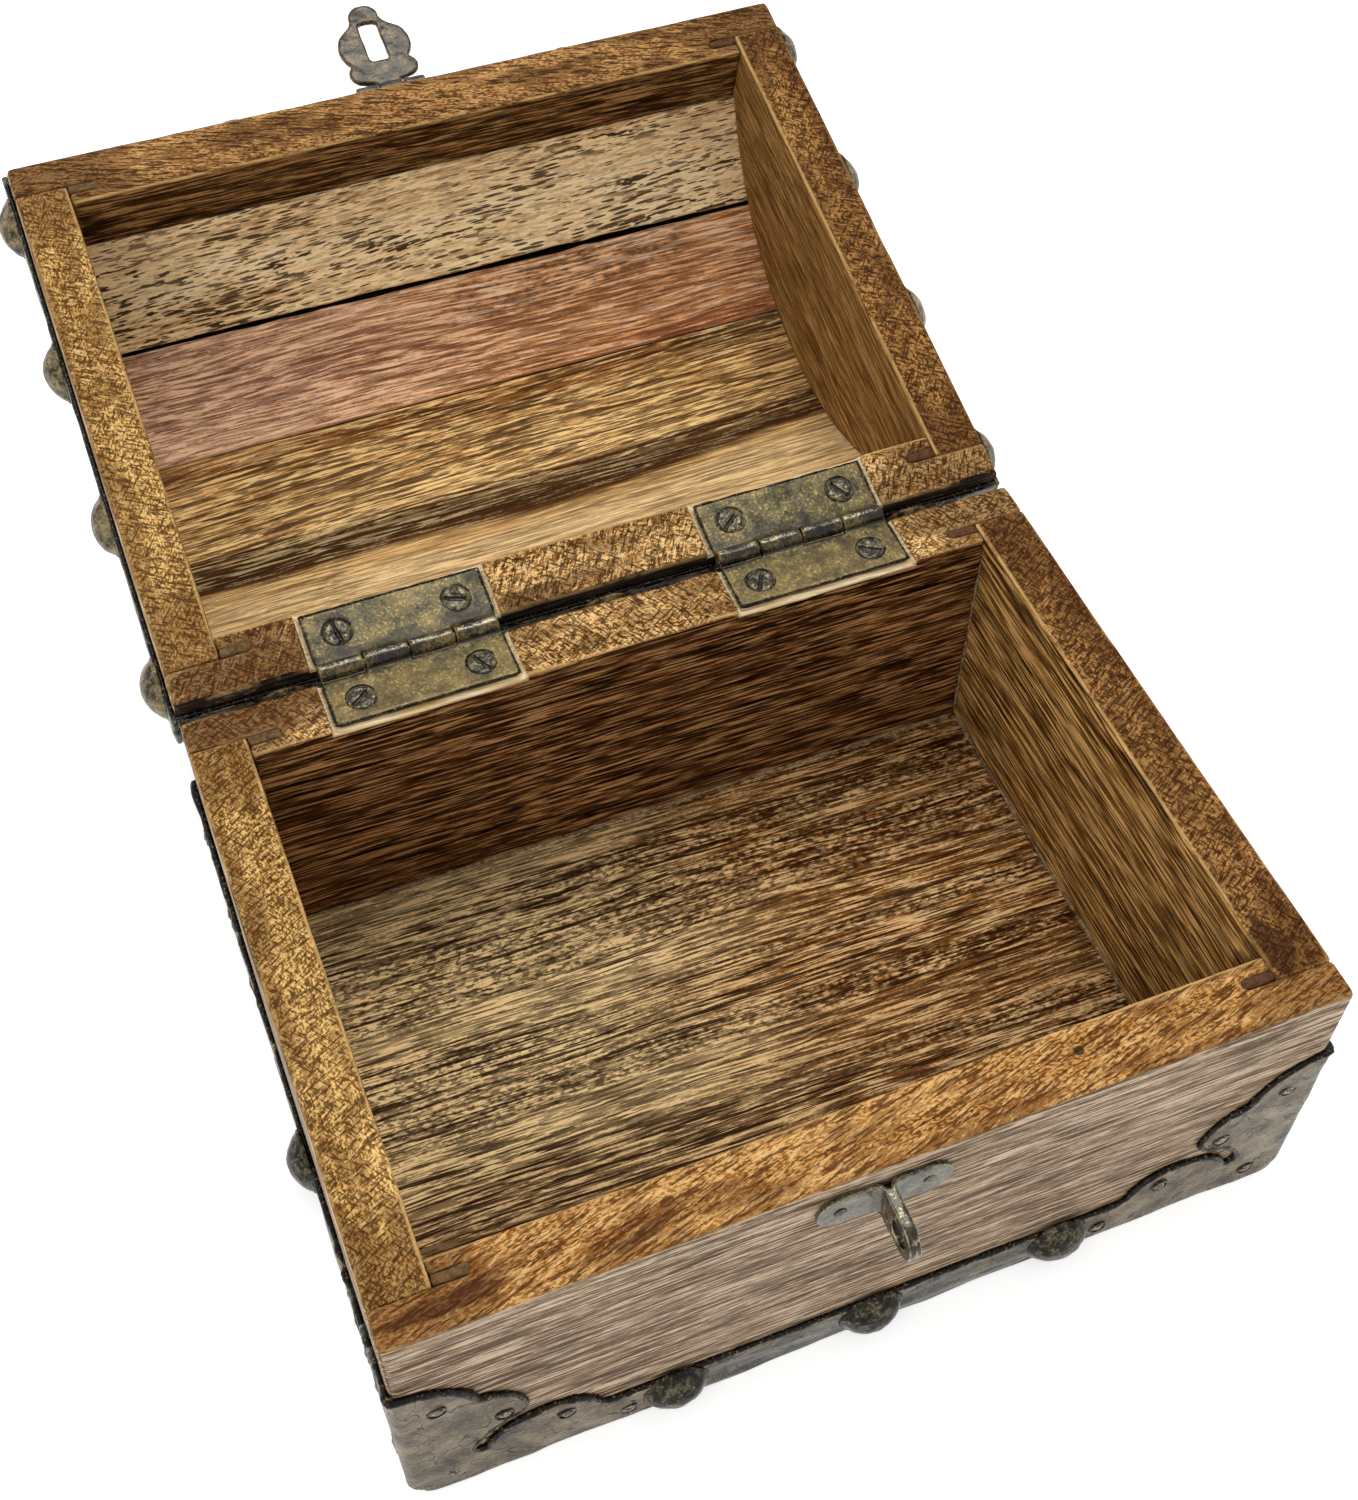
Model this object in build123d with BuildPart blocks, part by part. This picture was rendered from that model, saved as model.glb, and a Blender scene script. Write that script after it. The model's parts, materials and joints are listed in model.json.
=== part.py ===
"""A small wooden chest with a domed lid, iron straps, two butt hinges and a hasp.

Millimetres, +Z up, +X to the right as seen from the front (-Y). The origin is the middle of
the underside. The lid stands open, leaning on its stop, and the hasp stands out from it.
"""
import os
from math import asin, atan2, cos, degrees, hypot, pi, radians, sin, sqrt

from build123d import *

# Chest
width = 152.0
depth = 114.5
wall_height = 55.8
front_thickness = 11.0
side_thickness = 9.7
floor_thickness = 7.0
housing_depth = 4.3
corner_radius = 1.0
rim_radius = 0.5

# Saw kerfs beside the housings, closed with filler
kerf_width = 1.8
kerf_length = 5.6

# Lid
rim_gap = 0.4
dome_rise = 41.5
dome_spring = 13.0
rail_height = 14.0
roof_thickness = 8.0
plank_joint_angles = [-39.0, -13.5, 13.0, 38.5]

# Sheet iron
sheet = 1.0
strap_width = 8.6
lid_strap_inset = 3.2
foot_gap = 0.4
bracket_height = 39.0
front_arm = 45.0
side_arm = 36.0
bend_radius = corner_radius
toe_radius = 2.6

# Scalloped edge of a bracket's arm, from the upright corner down to the strap, as arcs: every
# second point is an arc's middle. Each is the distance from the corner and the height above
# the strap.
bracket_scallops = [
    (8.2, 26.6),
    (11.8, 20.4),
    (16.0, 18.2),
    (18.4, 13.8),
    (18.6, 11.4),
    (16.6, 9.8),
    (12.6, 7.2),
    (10.0, 3.2),
    (10.1, 1.0),
    (12.2, 0.7),
    (15.0, 4.8),
    (19.8, 6.6),
    (26.0, 6.2),
    (30.0, 1.4),
    (31.2, 0.3),
    (32.8, 0.0),
]

# Dome nails and tacks
nail_radius = 5.4
nail_rise = 3.2
nail_shank_radius = 0.75
nail_shank_length = 8.0
strap_joint_lap = 2.5
lid_front_nail_x = 33.5
lid_end_nail_inset = 7.75
lid_back_nail_inset = 18.0
tack_radius = 1.3
tack_rise = 0.4
tack_shank_radius = 0.5
tack_shank_length = 4.0
bracket_tack_points = [(5.7, 31.4), (15.3, 21.0), (24.7, 11.8), (6.7, 4.8)]
front_arm_tack = (34.6, 3.8)

# Butt hinges
hinge_inset = 40.0
hinge_length = 31.75
leaf_width = 11.4
leaf_thickness = 1.0
leaf_corner_radius = 0.8
knuckle_count = 4
knuckle_radius = 1.6
knuckle_gap = 0.2
knuckle_relief = 0.3
pin_radius = 0.8
pin_clearance = 0.05
hinge_offset = 1.5
mortise_margin = 0.9
screw_inset = 5.4
screw_pitch = 21.0
screw_head_radius = 2.5
screw_shank_radius = 1.1
screw_length = 8.5
screw_tip = 1.8
slot_width = 0.7
slot_depth = 0.5

# Hasp and staple
lock_x = -1.5
hasp_thickness = 1.2
hasp_clearance = 0.3
hasp_axis_height = 4.6
hasp_knuckle_radius = 1.6
hasp_pin_radius = 0.7
hasp_hinge_length = 14.0
hasp_middle_knuckle = 5.2
hasp_slot_length = 9.6
hasp_slot_width = 3.7
hasp_slot_radius = 0.9
hasp_slot_centre = 12.1
hasp_leaf_height = 13.0
hasp_tack_points = [(-4.4, 8.4), (4.4, 8.4), (0.0, 11.0)]
staple_wing = 10.8
staple_tack_x = 7.1
staple_height = 7.6
staple_reach = 11.0
staple_bend = 1.4
staple_eye_radius = 2.2
staple_eye_reach = 7.0
tip_flat = 0.2
stop_clearance = 0.692

# Right-hand edge of the hasp's plate below its neck, as arcs: every second point is an arc's
# middle. Each is the distance from the plate's middle line and from the pin.
hasp_edge = [
    (5.0, 2.7),
    (6.9, 4.8),
    (5.7, 7.2),
    (7.2, 11.0),
    (4.7, 15.9),
    (3.5, 17.0),
    (3.0, 18.3),
    (2.2, 20.5),
    (0.0, 21.4),
]
hasp_neck_length = 2.0

# Right-hand edge of the leaf that holds the hasp, above its knuckles: shares of the leaf's
# half-length and of its rise.
hasp_leaf_edge = [
    (1.0, 0.45),
    (0.78, 0.72),
    (0.42, 0.76),
    (0.27, 0.94),
    (0.0, 1.0),
]

# Worked out from the sizes above
inner_half_width = width / 2 - side_thickness
inner_half_depth = depth / 2 - front_thickness
side_board_half = inner_half_depth + housing_depth
strap_top = foot_gap + strap_width
front_strap_half = width / 2 - front_arm
side_strap_half = depth / 2 - side_arm
strap_mid_lid = lid_strap_inset + strap_width / 2
nail_height_body = nail_radius + foot_gap / 2
nail_sphere = (nail_radius**2 + nail_rise**2) / (2 * nail_rise)
tack_sphere = (tack_radius**2 + tack_rise**2) / (2 * tack_rise)
leaf_top = -rim_gap / 2
hinge_x = width / 2 - hinge_inset
hinge_y = depth / 2 + hinge_offset
hinge_z = wall_height + rim_gap / 2
hasp_axis_offset = sheet + tack_rise + hasp_clearance + hasp_thickness / 2
staple_z = wall_height + rim_gap + hasp_axis_height - hasp_slot_centre
staple_eye_y = -depth / 2 - staple_eye_reach

# The lid swings back until the nail heads on its back strap stand stop_clearance off the
# back board: the centre of a head's sphere lies `stop_back` behind the pin towards the board
# and `stop_up` above it while the lid is shut.
stop_back = hinge_offset + nail_sphere - sheet - nail_rise
stop_up = strap_mid_lid + rim_gap / 2
stop_side = nail_sphere - hinge_offset + stop_clearance
open_angle = degrees(
    atan2(stop_back, stop_up) + pi - asin(stop_side / hypot(stop_back, stop_up))
)

chest = Plane.XY
lid = Plane(
    Location((0, hinge_y, hinge_z), (-open_angle, 0, 0))
    * Location((0, -hinge_y, rim_gap / 2))
)


def section(frame, x=0.0):
    """Plane across a frame at x: its x runs along the frame's Y, its y along the frame's Z."""
    return Plane(frame.origin + frame.x_dir * x, x_dir=frame.y_dir, z_dir=frame.x_dir)


def side_face(frame, side):
    """Outer face of a frame's box, with its normal outwards and its y upwards."""
    outward, reach = {
        "front": (-frame.y_dir, depth / 2),
        "back": (frame.y_dir, depth / 2),
        "left": (-frame.x_dir, width / 2),
        "right": (frame.x_dir, width / 2),
    }[side]
    return Plane(frame.origin + outward * reach, x_dir=frame.z_dir.cross(outward), z_dir=outward)


def arc_chain(points):
    """Arcs end to end in the open line builder, each from three points in a row."""
    for i in range(0, len(points) - 2, 2):
        ThreePointArc(*points[i : i + 3])


def save(part, name):
    """Label a finished piece and write its file."""
    part.label = name
    export_step(part, f"parts/{name}.step")


def placed(piece, locations):
    """Copies of one fastener at a list of locations."""
    with BuildPart() as group:
        with Locations(*locations):
            add(piece)
    return group.part


def on_faces(frame, pattern):
    """Locations of points given as {side: [(along, up), ...]} on a frame's outer faces."""
    return [
        side_face(frame, side).location * Location((along, up, 0))
        for side, points in pattern.items()
        for along, up in points
    ]


# Fasteners, each with its shank along -Z and the wood's surface at z = 0
with BuildPart() as dome_nail:
    with BuildSketch(Plane.XZ):
        with BuildLine():
            Polyline(
                (0, sheet + nail_rise),
                (0, -nail_shank_length),
                (nail_shank_radius, -nail_shank_length),
                (nail_shank_radius, sheet),
                (nail_radius, sheet),
            )
            RadiusArc((nail_radius, sheet), (0, sheet + nail_rise), -nail_sphere)
        make_face()
    revolve(axis=Axis.Z)

with BuildPart() as tack:
    with BuildSketch(Plane.XZ):
        with BuildLine():
            Polyline(
                (0, sheet + tack_rise),
                (0, -tack_shank_length),
                (tack_shank_radius, -tack_shank_length),
                (tack_shank_radius, sheet),
                (tack_radius, sheet),
            )
            RadiusArc((tack_radius, sheet), (0, sheet + tack_rise), -tack_sphere)
        make_face()
    revolve(axis=Axis.Z)

with BuildPart() as screw_blank:
    with BuildSketch(Plane.XZ):
        with BuildLine():
            Polyline(
                (0, 0),
                (screw_head_radius, 0),
                (screw_shank_radius, -leaf_thickness),
                (screw_shank_radius, screw_tip - screw_length),
                (0, -screw_length),
                (0, 0),
            )
        make_face()
    revolve(axis=Axis.Z)

with BuildPart() as screw:
    add(screw_blank.part)
    with Locations((0, 0, -slot_depth / 2)):
        Box(2 * screw_head_radius, slot_width, slot_depth, mode=Mode.SUBTRACT)

# Where the fasteners go

def from_corners(half, points):
    """Points given from a corner, on both halves of a face."""
    return [(hand * (half - u), z) for hand in (-1, 1) for u, z in points]


joint_nail_x = front_strap_half + strap_joint_lap
front_nail_row = [(x, nail_height_body) for x in (-joint_nail_x, 0, joint_nail_x)]
chest_nails = on_faces(
    chest,
    {
        "front": front_nail_row,
        "back": front_nail_row,
        "left": [(0, nail_height_body)],
        "right": [(0, nail_height_body)],
    },
)
chest_tacks = on_faces(
    chest,
    {
        "front": from_corners(width / 2, bracket_tack_points + [front_arm_tack]),
        "back": from_corners(width / 2, bracket_tack_points + [front_arm_tack]),
        "left": from_corners(depth / 2, bracket_tack_points),
        "right": from_corners(depth / 2, bracket_tack_points),
    },
)
staple_tack_places = on_faces(
    chest, {"front": [(lock_x + hand * staple_tack_x, staple_z) for hand in (-1, 1)]}
)
lid_end_nail_pitch = (depth - 2 * lid_end_nail_inset) / 3
lid_end_nails = [((i - 1.5) * lid_end_nail_pitch, strap_mid_lid) for i in range(4)]
lid_back_nail_x = width / 2 - lid_back_nail_inset
lid_nails = on_faces(
    lid,
    {
        "front": [(x, strap_mid_lid) for x in (-lid_front_nail_x, lid_front_nail_x)],
        "back": [(x, strap_mid_lid) for x in (-lid_back_nail_x, 0, lid_back_nail_x)],
        "left": lid_end_nails,
        "right": lid_end_nails,
    },
)
hasp_leaf_tacks = on_faces(lid, {"front": [(lock_x + x, z) for x, z in hasp_tack_points]})


def hinge_frames(frame, up):
    """Frames on the pin axis of both hinges, with the leaf on the -Y side and below z = 0."""
    axis_z = hinge_z if up > 0 else -rim_gap / 2
    return {
        side: Plane(
            frame.origin + frame.x_dir * x + frame.y_dir * hinge_y + frame.z_dir * axis_z,
            x_dir=frame.x_dir * up,
            z_dir=frame.z_dir * up,
        )
        for side, x in (("left", -hinge_x), ("right", hinge_x))
    }


body_hinges = hinge_frames(chest, 1)
lid_hinges = hinge_frames(lid, -1)
leaf_screw_points = [
    (hand * screw_pitch / 2, -hinge_offset - screw_inset, leaf_top) for hand in (-1, 1)
]


def leaf_screws(frames):
    """Places of the screws of the leaves in both frames."""
    return [
        frame.location * Location(point)
        for frame in frames.values()
        for point in leaf_screw_points
    ]


with BuildPart() as chest_bores:
    add(placed(dome_nail.part, chest_nails))
    add(placed(tack.part, chest_tacks + staple_tack_places))
    add(placed(screw_blank.part, leaf_screws(body_hinges)))

with BuildPart() as lid_bores:
    add(placed(dome_nail.part, lid_nails))
    add(placed(tack.part, hasp_leaf_tacks))
    add(placed(screw_blank.part, leaf_screws(lid_hinges)))


def hinge_recess(frames):
    """Mortises of the leaves and the hollow that clears their knuckles."""
    mortise_length = hinge_length + 2 * mortise_margin
    through = front_thickness + 2 * hinge_offset
    recesses = []
    for frame in frames.values():
        with BuildPart(frame) as recess:
            with Locations((0, -through / 2, leaf_top)):
                Box(
                    mortise_length,
                    through,
                    leaf_thickness,
                    align=(Align.CENTER, Align.CENTER, Align.MAX),
                )
            with Locations(Location((0, 0, 0), (0, 90, 0))):
                Cylinder(knuckle_radius + knuckle_relief, mortise_length)
        recesses.append(recess.part)
    return recesses


def runs_along(direction):
    """Selector of the straight edges that run along a direction."""
    return lambda edge: (
        edge.geom_type == GeomType.LINE and abs(abs(edge.tangent_at(0.5).dot(direction)) - 1) < 1e-6
    )


def kerfs(frame, hand):
    """Sketch of the two saw kerfs of a front (-1) or back (1) board."""
    with BuildSketch(frame) as sketch:
        kerf_y = hand * (side_board_half - kerf_width / 2)
        for end in (-1, 1):
            with Locations((end * (inner_half_width - kerf_length / 2), kerf_y)):
                Rectangle(kerf_length, kerf_width)
    return sketch.sketch


def housings(frame, hand):
    """Sketch of the two housings that take the side boards."""
    with BuildSketch(frame) as sketch:
        for end in (-1, 1):
            with Locations((end * (width / 2 - side_thickness / 2), hand * inner_half_depth)):
                Rectangle(side_thickness, 2 * housing_depth)
    return sketch.sketch


def long_blank(frame, outline, hand):
    """A front (-1) or back (1) board's outline, swept over the chest's width."""
    with BuildPart() as blank:
        with BuildSketch(section(frame)):
            with BuildLine():
                Polyline(*[(hand * y, z) for y, z in outline], close=True)
            make_face()
        extrude(amount=width / 2, both=True)
    return blank.part


def long_board(frame, outline, rim_z, hand, recesses, bores):
    """A front or back board with eased outer edges, housed for both side boards."""
    tall = max(z for _, z in outline)
    with BuildPart() as board:
        add(long_blank(frame, outline, hand))
        upright = board.edges().filter_by(runs_along(frame.z_dir))
        outer = upright.filter_by(
            lambda edge: abs(frame.to_local_coords(edge.center()).Y - hand * depth / 2) < 0.01
        )
        fillet(outer, corner_radius)
        rim = board.faces().sort_by(
            lambda face: abs(frame.to_local_coords(face.center()).Z - rim_z)
        )[0]
        eased = rim.edges().filter_by(
            lambda edge: hand * frame.to_local_coords(edge.center()).Y > inner_half_depth + 0.01
        )
        fillet(eased, rim_radius)
        for cut in (housings(frame, hand), kerfs(frame, hand)):
            extrude(to_extrude=cut, amount=tall + 1, mode=Mode.SUBTRACT)
        for recess in recesses:
            add(recess, mode=Mode.SUBTRACT)
        add(bores, mode=Mode.SUBTRACT)
    return board.part


def corner_fillers(frame, outline, bores):
    """Filler in the kerfs of the front and back boards, nailed through like them."""
    with BuildPart() as fillers:
        for hand in (-1, 1):
            with BuildPart(mode=Mode.PRIVATE) as pair:
                add(long_blank(frame, outline, hand))
                tall = max(z for _, z in outline)
                extrude(to_extrude=kerfs(frame, hand), amount=tall, mode=Mode.INTERSECT)
            add(pair.part)
        add(bores, mode=Mode.SUBTRACT)
    return fillers.part


def end_board(frame, hand, outline, rim_z, bores):
    """A side board of the chest or an end of the lid, from its outline in the section."""
    with BuildPart() as board:
        with BuildSketch(section(frame, hand * inner_half_width)):
            add(outline)
        extrude(amount=hand * side_thickness)
        rim_edges = board.edges().filter_by(runs_along(frame.y_dir)).filter_by(
            lambda edge: abs(frame.to_local_coords(edge.center()).Z - rim_z) < 0.01
        )
        eased = rim_edges.sort_by(
            lambda edge: hand * frame.to_local_coords(edge.center()).X
        )[-1]
        fillet(eased, rim_radius)
        add(bores, mode=Mode.SUBTRACT)
    return board.part


os.makedirs("parts", exist_ok=True)

# ---- Chest: boards -------------------------------------------------------------------------
wall_outline = [
    (depth / 2, 0),
    (depth / 2, wall_height),
    (inner_half_depth, wall_height),
    (inner_half_depth, 0),
]
save(long_board(chest, wall_outline, wall_height, -1, [], chest_bores.part), "front_board")
back_board = long_board(
    chest, wall_outline, wall_height, 1, hinge_recess(body_hinges), chest_bores.part
)
save(back_board, "back_board")
save(corner_fillers(chest, wall_outline, chest_bores.part), "body_corner_fillers")

with BuildSketch() as side_outline:
    Rectangle(2 * side_board_half, wall_height, align=(Align.CENTER, Align.MIN))

for name, hand in (("left", -1), ("right", 1)):
    board = end_board(chest, hand, side_outline.sketch, wall_height, chest_bores.part)
    save(board, f"{name}_board")

with BuildPart() as floor_board:
    with Locations((0, 0, floor_thickness / 2)):
        Box(2 * inner_half_width, 2 * inner_half_depth, floor_thickness)
save(floor_board.part, "floor_board")

# ---- Chest: straps and corner brackets -------------------------------------------------------
def bracket_arm(side, hand, arm):
    """One arm of a corner bracket, flat on a face of the chest."""
    half = width / 2 if side in ("front", "back") else depth / 2

    def at(u, z):
        return (hand * (half - u), z)

    toe = (1 - sqrt(0.5)) * toe_radius
    with BuildPart() as plate:
        with BuildSketch(side_face(chest, side)):
            with BuildLine():
                Line(at(bend_radius, foot_gap + toe_radius), at(bend_radius, bracket_height))
                arc_chain(
                    [at(bend_radius, bracket_height)]
                    + [at(u, strap_top + rise) for u, rise in bracket_scallops]
                )
                Polyline(
                    at(bracket_scallops[-1][0], strap_top),
                    at(arm, strap_top),
                    at(arm, foot_gap),
                    at(bend_radius + toe_radius, foot_gap),
                )
                ThreePointArc(
                    at(bend_radius + toe_radius, foot_gap),
                    at(bend_radius + toe, foot_gap + toe),
                    at(bend_radius, foot_gap + toe_radius),
                )
            make_face()
        extrude(amount=sheet)
    return plate.part


def corner_bracket(x_hand, y_hand):
    """Sheet bent round an upright corner, with an arm on each face."""
    long_side = "front" if y_hand < 0 else "back"
    end_side = "left" if x_hand < 0 else "right"
    # On the front and right faces "along" grows with +X and +Y, on the others it shrinks.
    long_hand = x_hand if long_side == "front" else -x_hand
    end_hand = y_hand if end_side == "right" else -y_hand
    low = foot_gap + toe_radius
    with BuildPart() as bracket:
        add(bracket_arm(long_side, long_hand, front_arm))
        add(bracket_arm(end_side, end_hand, side_arm))
        with BuildSketch(Plane.XY.offset(low)):
            with Locations((x_hand * (width / 2 - bend_radius), y_hand * (depth / 2 - bend_radius))):
                Circle(bend_radius + sheet)
                Circle(bend_radius, mode=Mode.SUBTRACT)
            corner = bend_radius + sheet
            with Locations(
                (x_hand * (width / 2 + sheet - corner / 2), y_hand * (depth / 2 + sheet - corner / 2))
            ):
                Rectangle(corner, corner, mode=Mode.INTERSECT)
        extrude(amount=bracket_height - low)
        add(chest_bores.part, mode=Mode.SUBTRACT)
    return bracket.part


for y_name, y_hand in (("front", -1), ("back", 1)):
    for x_name, x_hand in (("left", -1), ("right", 1)):
        save(corner_bracket(x_hand, y_hand), f"bracket_{y_name}_{x_name}")


def strap(frame, side, low, start, stop, bores):
    """A straight strap on a frame's face, from start to stop along it."""
    with BuildPart() as band:
        with BuildSketch(side_face(frame, side)):
            with Locations(((start + stop) / 2, low + strap_width / 2)):
                Rectangle(abs(stop - start), strap_width)
        extrude(amount=sheet)
        add(bores, mode=Mode.SUBTRACT)
    return band.part


for side in ("front", "back", "left", "right"):
    half = front_strap_half if side in ("front", "back") else side_strap_half
    band = strap(chest, side, foot_gap, -half, half, chest_bores.part)
    save(band, f"body_strap_{side}")

save(placed(dome_nail.part, chest_nails), "body_strap_nails")
save(placed(tack.part, chest_tacks), "bracket_tacks")

# ---- Staple on the front board ---------------------------------------------------------------
staple_outer = staple_bend + sheet
with BuildPart() as staple:
    with BuildSketch(Plane((lock_x, -depth / 2, staple_z - staple_height / 2))):
        with BuildLine():
            Line((staple_wing, 0), (staple_outer, 0))
            RadiusArc((staple_outer, 0), (0, -staple_outer), -staple_outer)
            Polyline(
                (0, -staple_outer),
                (0, -staple_reach),
                (sheet, -staple_reach),
                (sheet, -staple_outer),
            )
            RadiusArc((sheet, -staple_outer), (staple_outer, -sheet), staple_bend)
            Polyline((staple_outer, -sheet), (staple_wing, -sheet), (staple_wing, 0))
        make_face()
        mirror(about=Plane.YZ)
    extrude(amount=staple_height)
    wing_ends = staple.edges().filter_by(Axis.Y).filter_by(
        lambda edge: abs(abs(edge.center().X - lock_x) - staple_wing) < 0.01
    )
    fillet(wing_ends, (staple_height - tip_flat) / 2)
    tips = staple.edges().filter_by(Axis.X).filter_by(
        lambda edge: abs(edge.center().Y + depth / 2 + staple_reach) < 0.01
    )
    fillet(tips, (staple_height - tip_flat) / 2)
    with Locations(Location((lock_x, staple_eye_y, staple_z), (0, 90, 0))):
        Cylinder(staple_eye_radius, 4 * sheet, mode=Mode.SUBTRACT)
    add(chest_bores.part, mode=Mode.SUBTRACT)
save(staple.part, "staple")
save(placed(tack.part, staple_tack_places), "staple_tacks")


# ---- Butt hinges -----------------------------------------------------------------------------
def hinge_leaf(frame, bore_radius):
    """A leaf whose knuckles are the second and fourth along the frame's X."""
    pitch = hinge_length / knuckle_count
    centres = [(i - (knuckle_count - 1) / 2) * pitch for i in range(knuckle_count)]
    own, other = centres[1::2], centres[0::2]
    free = 2 * (knuckle_radius + knuckle_gap)
    with BuildPart(frame) as leaf:
        with Locations((0, 0, leaf_top)):
            Box(
                hinge_length,
                leaf_width,
                leaf_thickness,
                align=(Align.CENTER, Align.MAX, Align.MAX),
            )
        tips = leaf.edges().filter_by(runs_along(frame.z_dir)).filter_by(
            lambda edge: frame.to_local_coords(edge.center()).Y < -leaf_width / 2
        )
        fillet(tips, leaf_corner_radius)
        with Locations(*[(x, 0, 0) for x in other]):
            Box(pitch + knuckle_gap, free, free, mode=Mode.SUBTRACT)
        with Locations(*[Location((x, 0, 0), (0, 90, 0)) for x in own]):
            Cylinder(knuckle_radius, pitch - knuckle_gap)
        with Locations(Location((0, 0, 0), (0, 90, 0))):
            Cylinder(bore_radius, hinge_length + 1, mode=Mode.SUBTRACT)
        with Locations(*leaf_screw_points):
            add(screw_blank.part, mode=Mode.SUBTRACT)
    return leaf.part


for side in ("left", "right"):
    save(hinge_leaf(body_hinges[side], pin_radius), f"hinge_leaf_body_{side}")
    save(hinge_leaf(lid_hinges[side], pin_radius + pin_clearance), f"hinge_leaf_lid_{side}")
    with BuildPart(body_hinges[side]) as hinge_pin:
        with Locations(Location((0, 0, 0), (0, 90, 0))):
            Cylinder(pin_radius, hinge_length)
    save(hinge_pin.part, f"hinge_pin_{side}")

save(placed(screw.part, leaf_screws(body_hinges)), "body_hinge_screws")
save(placed(screw.part, leaf_screws(lid_hinges)), "lid_hinge_screws")

# ---- Lid: rails, ends and roof ---------------------------------------------------------------
rail_outline = [
    (depth / 2, 0),
    (depth / 2, rail_height),
    (inner_half_depth, dome_spring),
    (inner_half_depth, 0),
]
front_rail = long_board(lid, rail_outline, 0, -1, [], lid_bores.part)
back_rail = long_board(lid, rail_outline, 0, 1, hinge_recess(lid_hinges), lid_bores.part)
save(front_rail, "lid_rail_front")
save(back_rail, "lid_rail_back")
save(corner_fillers(lid, rail_outline, lid_bores.part), "lid_corner_fillers")

# Circles of the dome's inside and outside, centred on the section's upright axis
inner_rise = dome_rise - dome_spring
inner_circle = (inner_half_depth**2 + inner_rise**2) / (2 * inner_rise)
inner_centre = dome_rise - inner_circle
outer_rise = dome_rise + roof_thickness - rail_height
outer_circle = ((depth / 2) ** 2 + outer_rise**2) / (2 * outer_rise)
outer_centre = dome_rise + roof_thickness - outer_circle
rail_slope = (rail_height - dome_spring) / front_thickness


def on_inner(angle):
    """Point of the inner circle at an angle from upright, in degrees."""
    turn = radians(angle)
    return (inner_circle * sin(turn), inner_centre + inner_circle * cos(turn))


def on_outer(angle):
    """Point of the outer circle on the same radial line of the inner circle."""
    turn = radians(angle)
    drop = inner_centre - outer_centre
    reach = sqrt(outer_circle**2 - (drop * sin(turn)) ** 2) - drop * cos(turn)
    return (reach * sin(turn), inner_centre + reach * cos(turn))


with BuildSketch() as end_outline:
    housed_top = dome_spring + rail_slope * housing_depth
    with BuildLine():
        Polyline(
            (-inner_half_depth, dome_spring),
            (-side_board_half, housed_top),
            (-side_board_half, 0),
            (side_board_half, 0),
            (side_board_half, housed_top),
            (inner_half_depth, dome_spring),
        )
        ThreePointArc((inner_half_depth, dome_spring), (0, dome_rise), (-inner_half_depth, dome_spring))
    make_face()

for name, hand in (("left", -1), ("right", 1)):
    board = end_board(lid, hand, end_outline.sketch, 0, lid_bores.part)
    save(board, f"lid_end_{name}")

spring_angle = degrees(asin(inner_half_depth / inner_circle))
plank_edges = [
    (on_inner(angle), on_outer(angle)) for angle in plank_joint_angles
]
plank_edges.insert(0, ((-inner_half_depth, dome_spring), (-depth / 2, rail_height)))
plank_edges.append(((inner_half_depth, dome_spring), (depth / 2, rail_height)))
joint_angles = [-spring_angle, *plank_joint_angles, spring_angle]

for i, (start, stop) in enumerate(zip(plank_edges, plank_edges[1:])):
    middle = (joint_angles[i] + joint_angles[i + 1]) / 2
    with BuildPart() as plank:
        with BuildSketch(section(lid)):
            with BuildLine():
                ThreePointArc(start[0], on_inner(middle), stop[0])
                Line(stop[0], stop[1])
                ThreePointArc(stop[1], on_outer(middle), start[1])
                Line(start[1], start[0])
            make_face()
        extrude(amount=width / 2, both=True)
    save(plank.part, f"roof_plank_{i + 1}")

# ---- Lid: straps -----------------------------------------------------------------------------
hasp_half = hasp_hinge_length / 2
strap_spans = {
    "front_left": ("front", -width / 2, lock_x - hasp_half - hasp_clearance),
    "front_right": ("front", lock_x + hasp_half + hasp_clearance, width / 2),
    "back": ("back", -width / 2, width / 2),
    "left": ("left", -depth / 2 - sheet, depth / 2 + sheet),
    "right": ("right", -depth / 2 - sheet, depth / 2 + sheet),
}
for name, (side, start, stop) in strap_spans.items():
    band = strap(lid, side, lid_strap_inset, start, stop, lid_bores.part)
    save(band, f"lid_strap_{name}")
save(placed(dome_nail.part, lid_nails), "lid_strap_nails")

# ---- Hasp ------------------------------------------------------------------------------------
hasp_origin = (
    lid.origin
    + lid.x_dir * lock_x
    - lid.y_dir * (depth / 2 + hasp_axis_offset)
    + lid.z_dir * hasp_axis_height
)
leaf_frame = Plane(hasp_origin, x_dir=lid.x_dir, z_dir=-lid.y_dir)
hasp_frame = Plane(hasp_origin, x_dir=lid.x_dir, z_dir=-lid.z_dir)
outer_knuckle = (hasp_hinge_length - hasp_middle_knuckle) / 2
outer_knuckle_x = hasp_half - outer_knuckle / 2
leaf_rise = hasp_leaf_height - hasp_axis_height
leaf_edge = [(across * hasp_half, up * leaf_rise) for across, up in hasp_leaf_edge]

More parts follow.
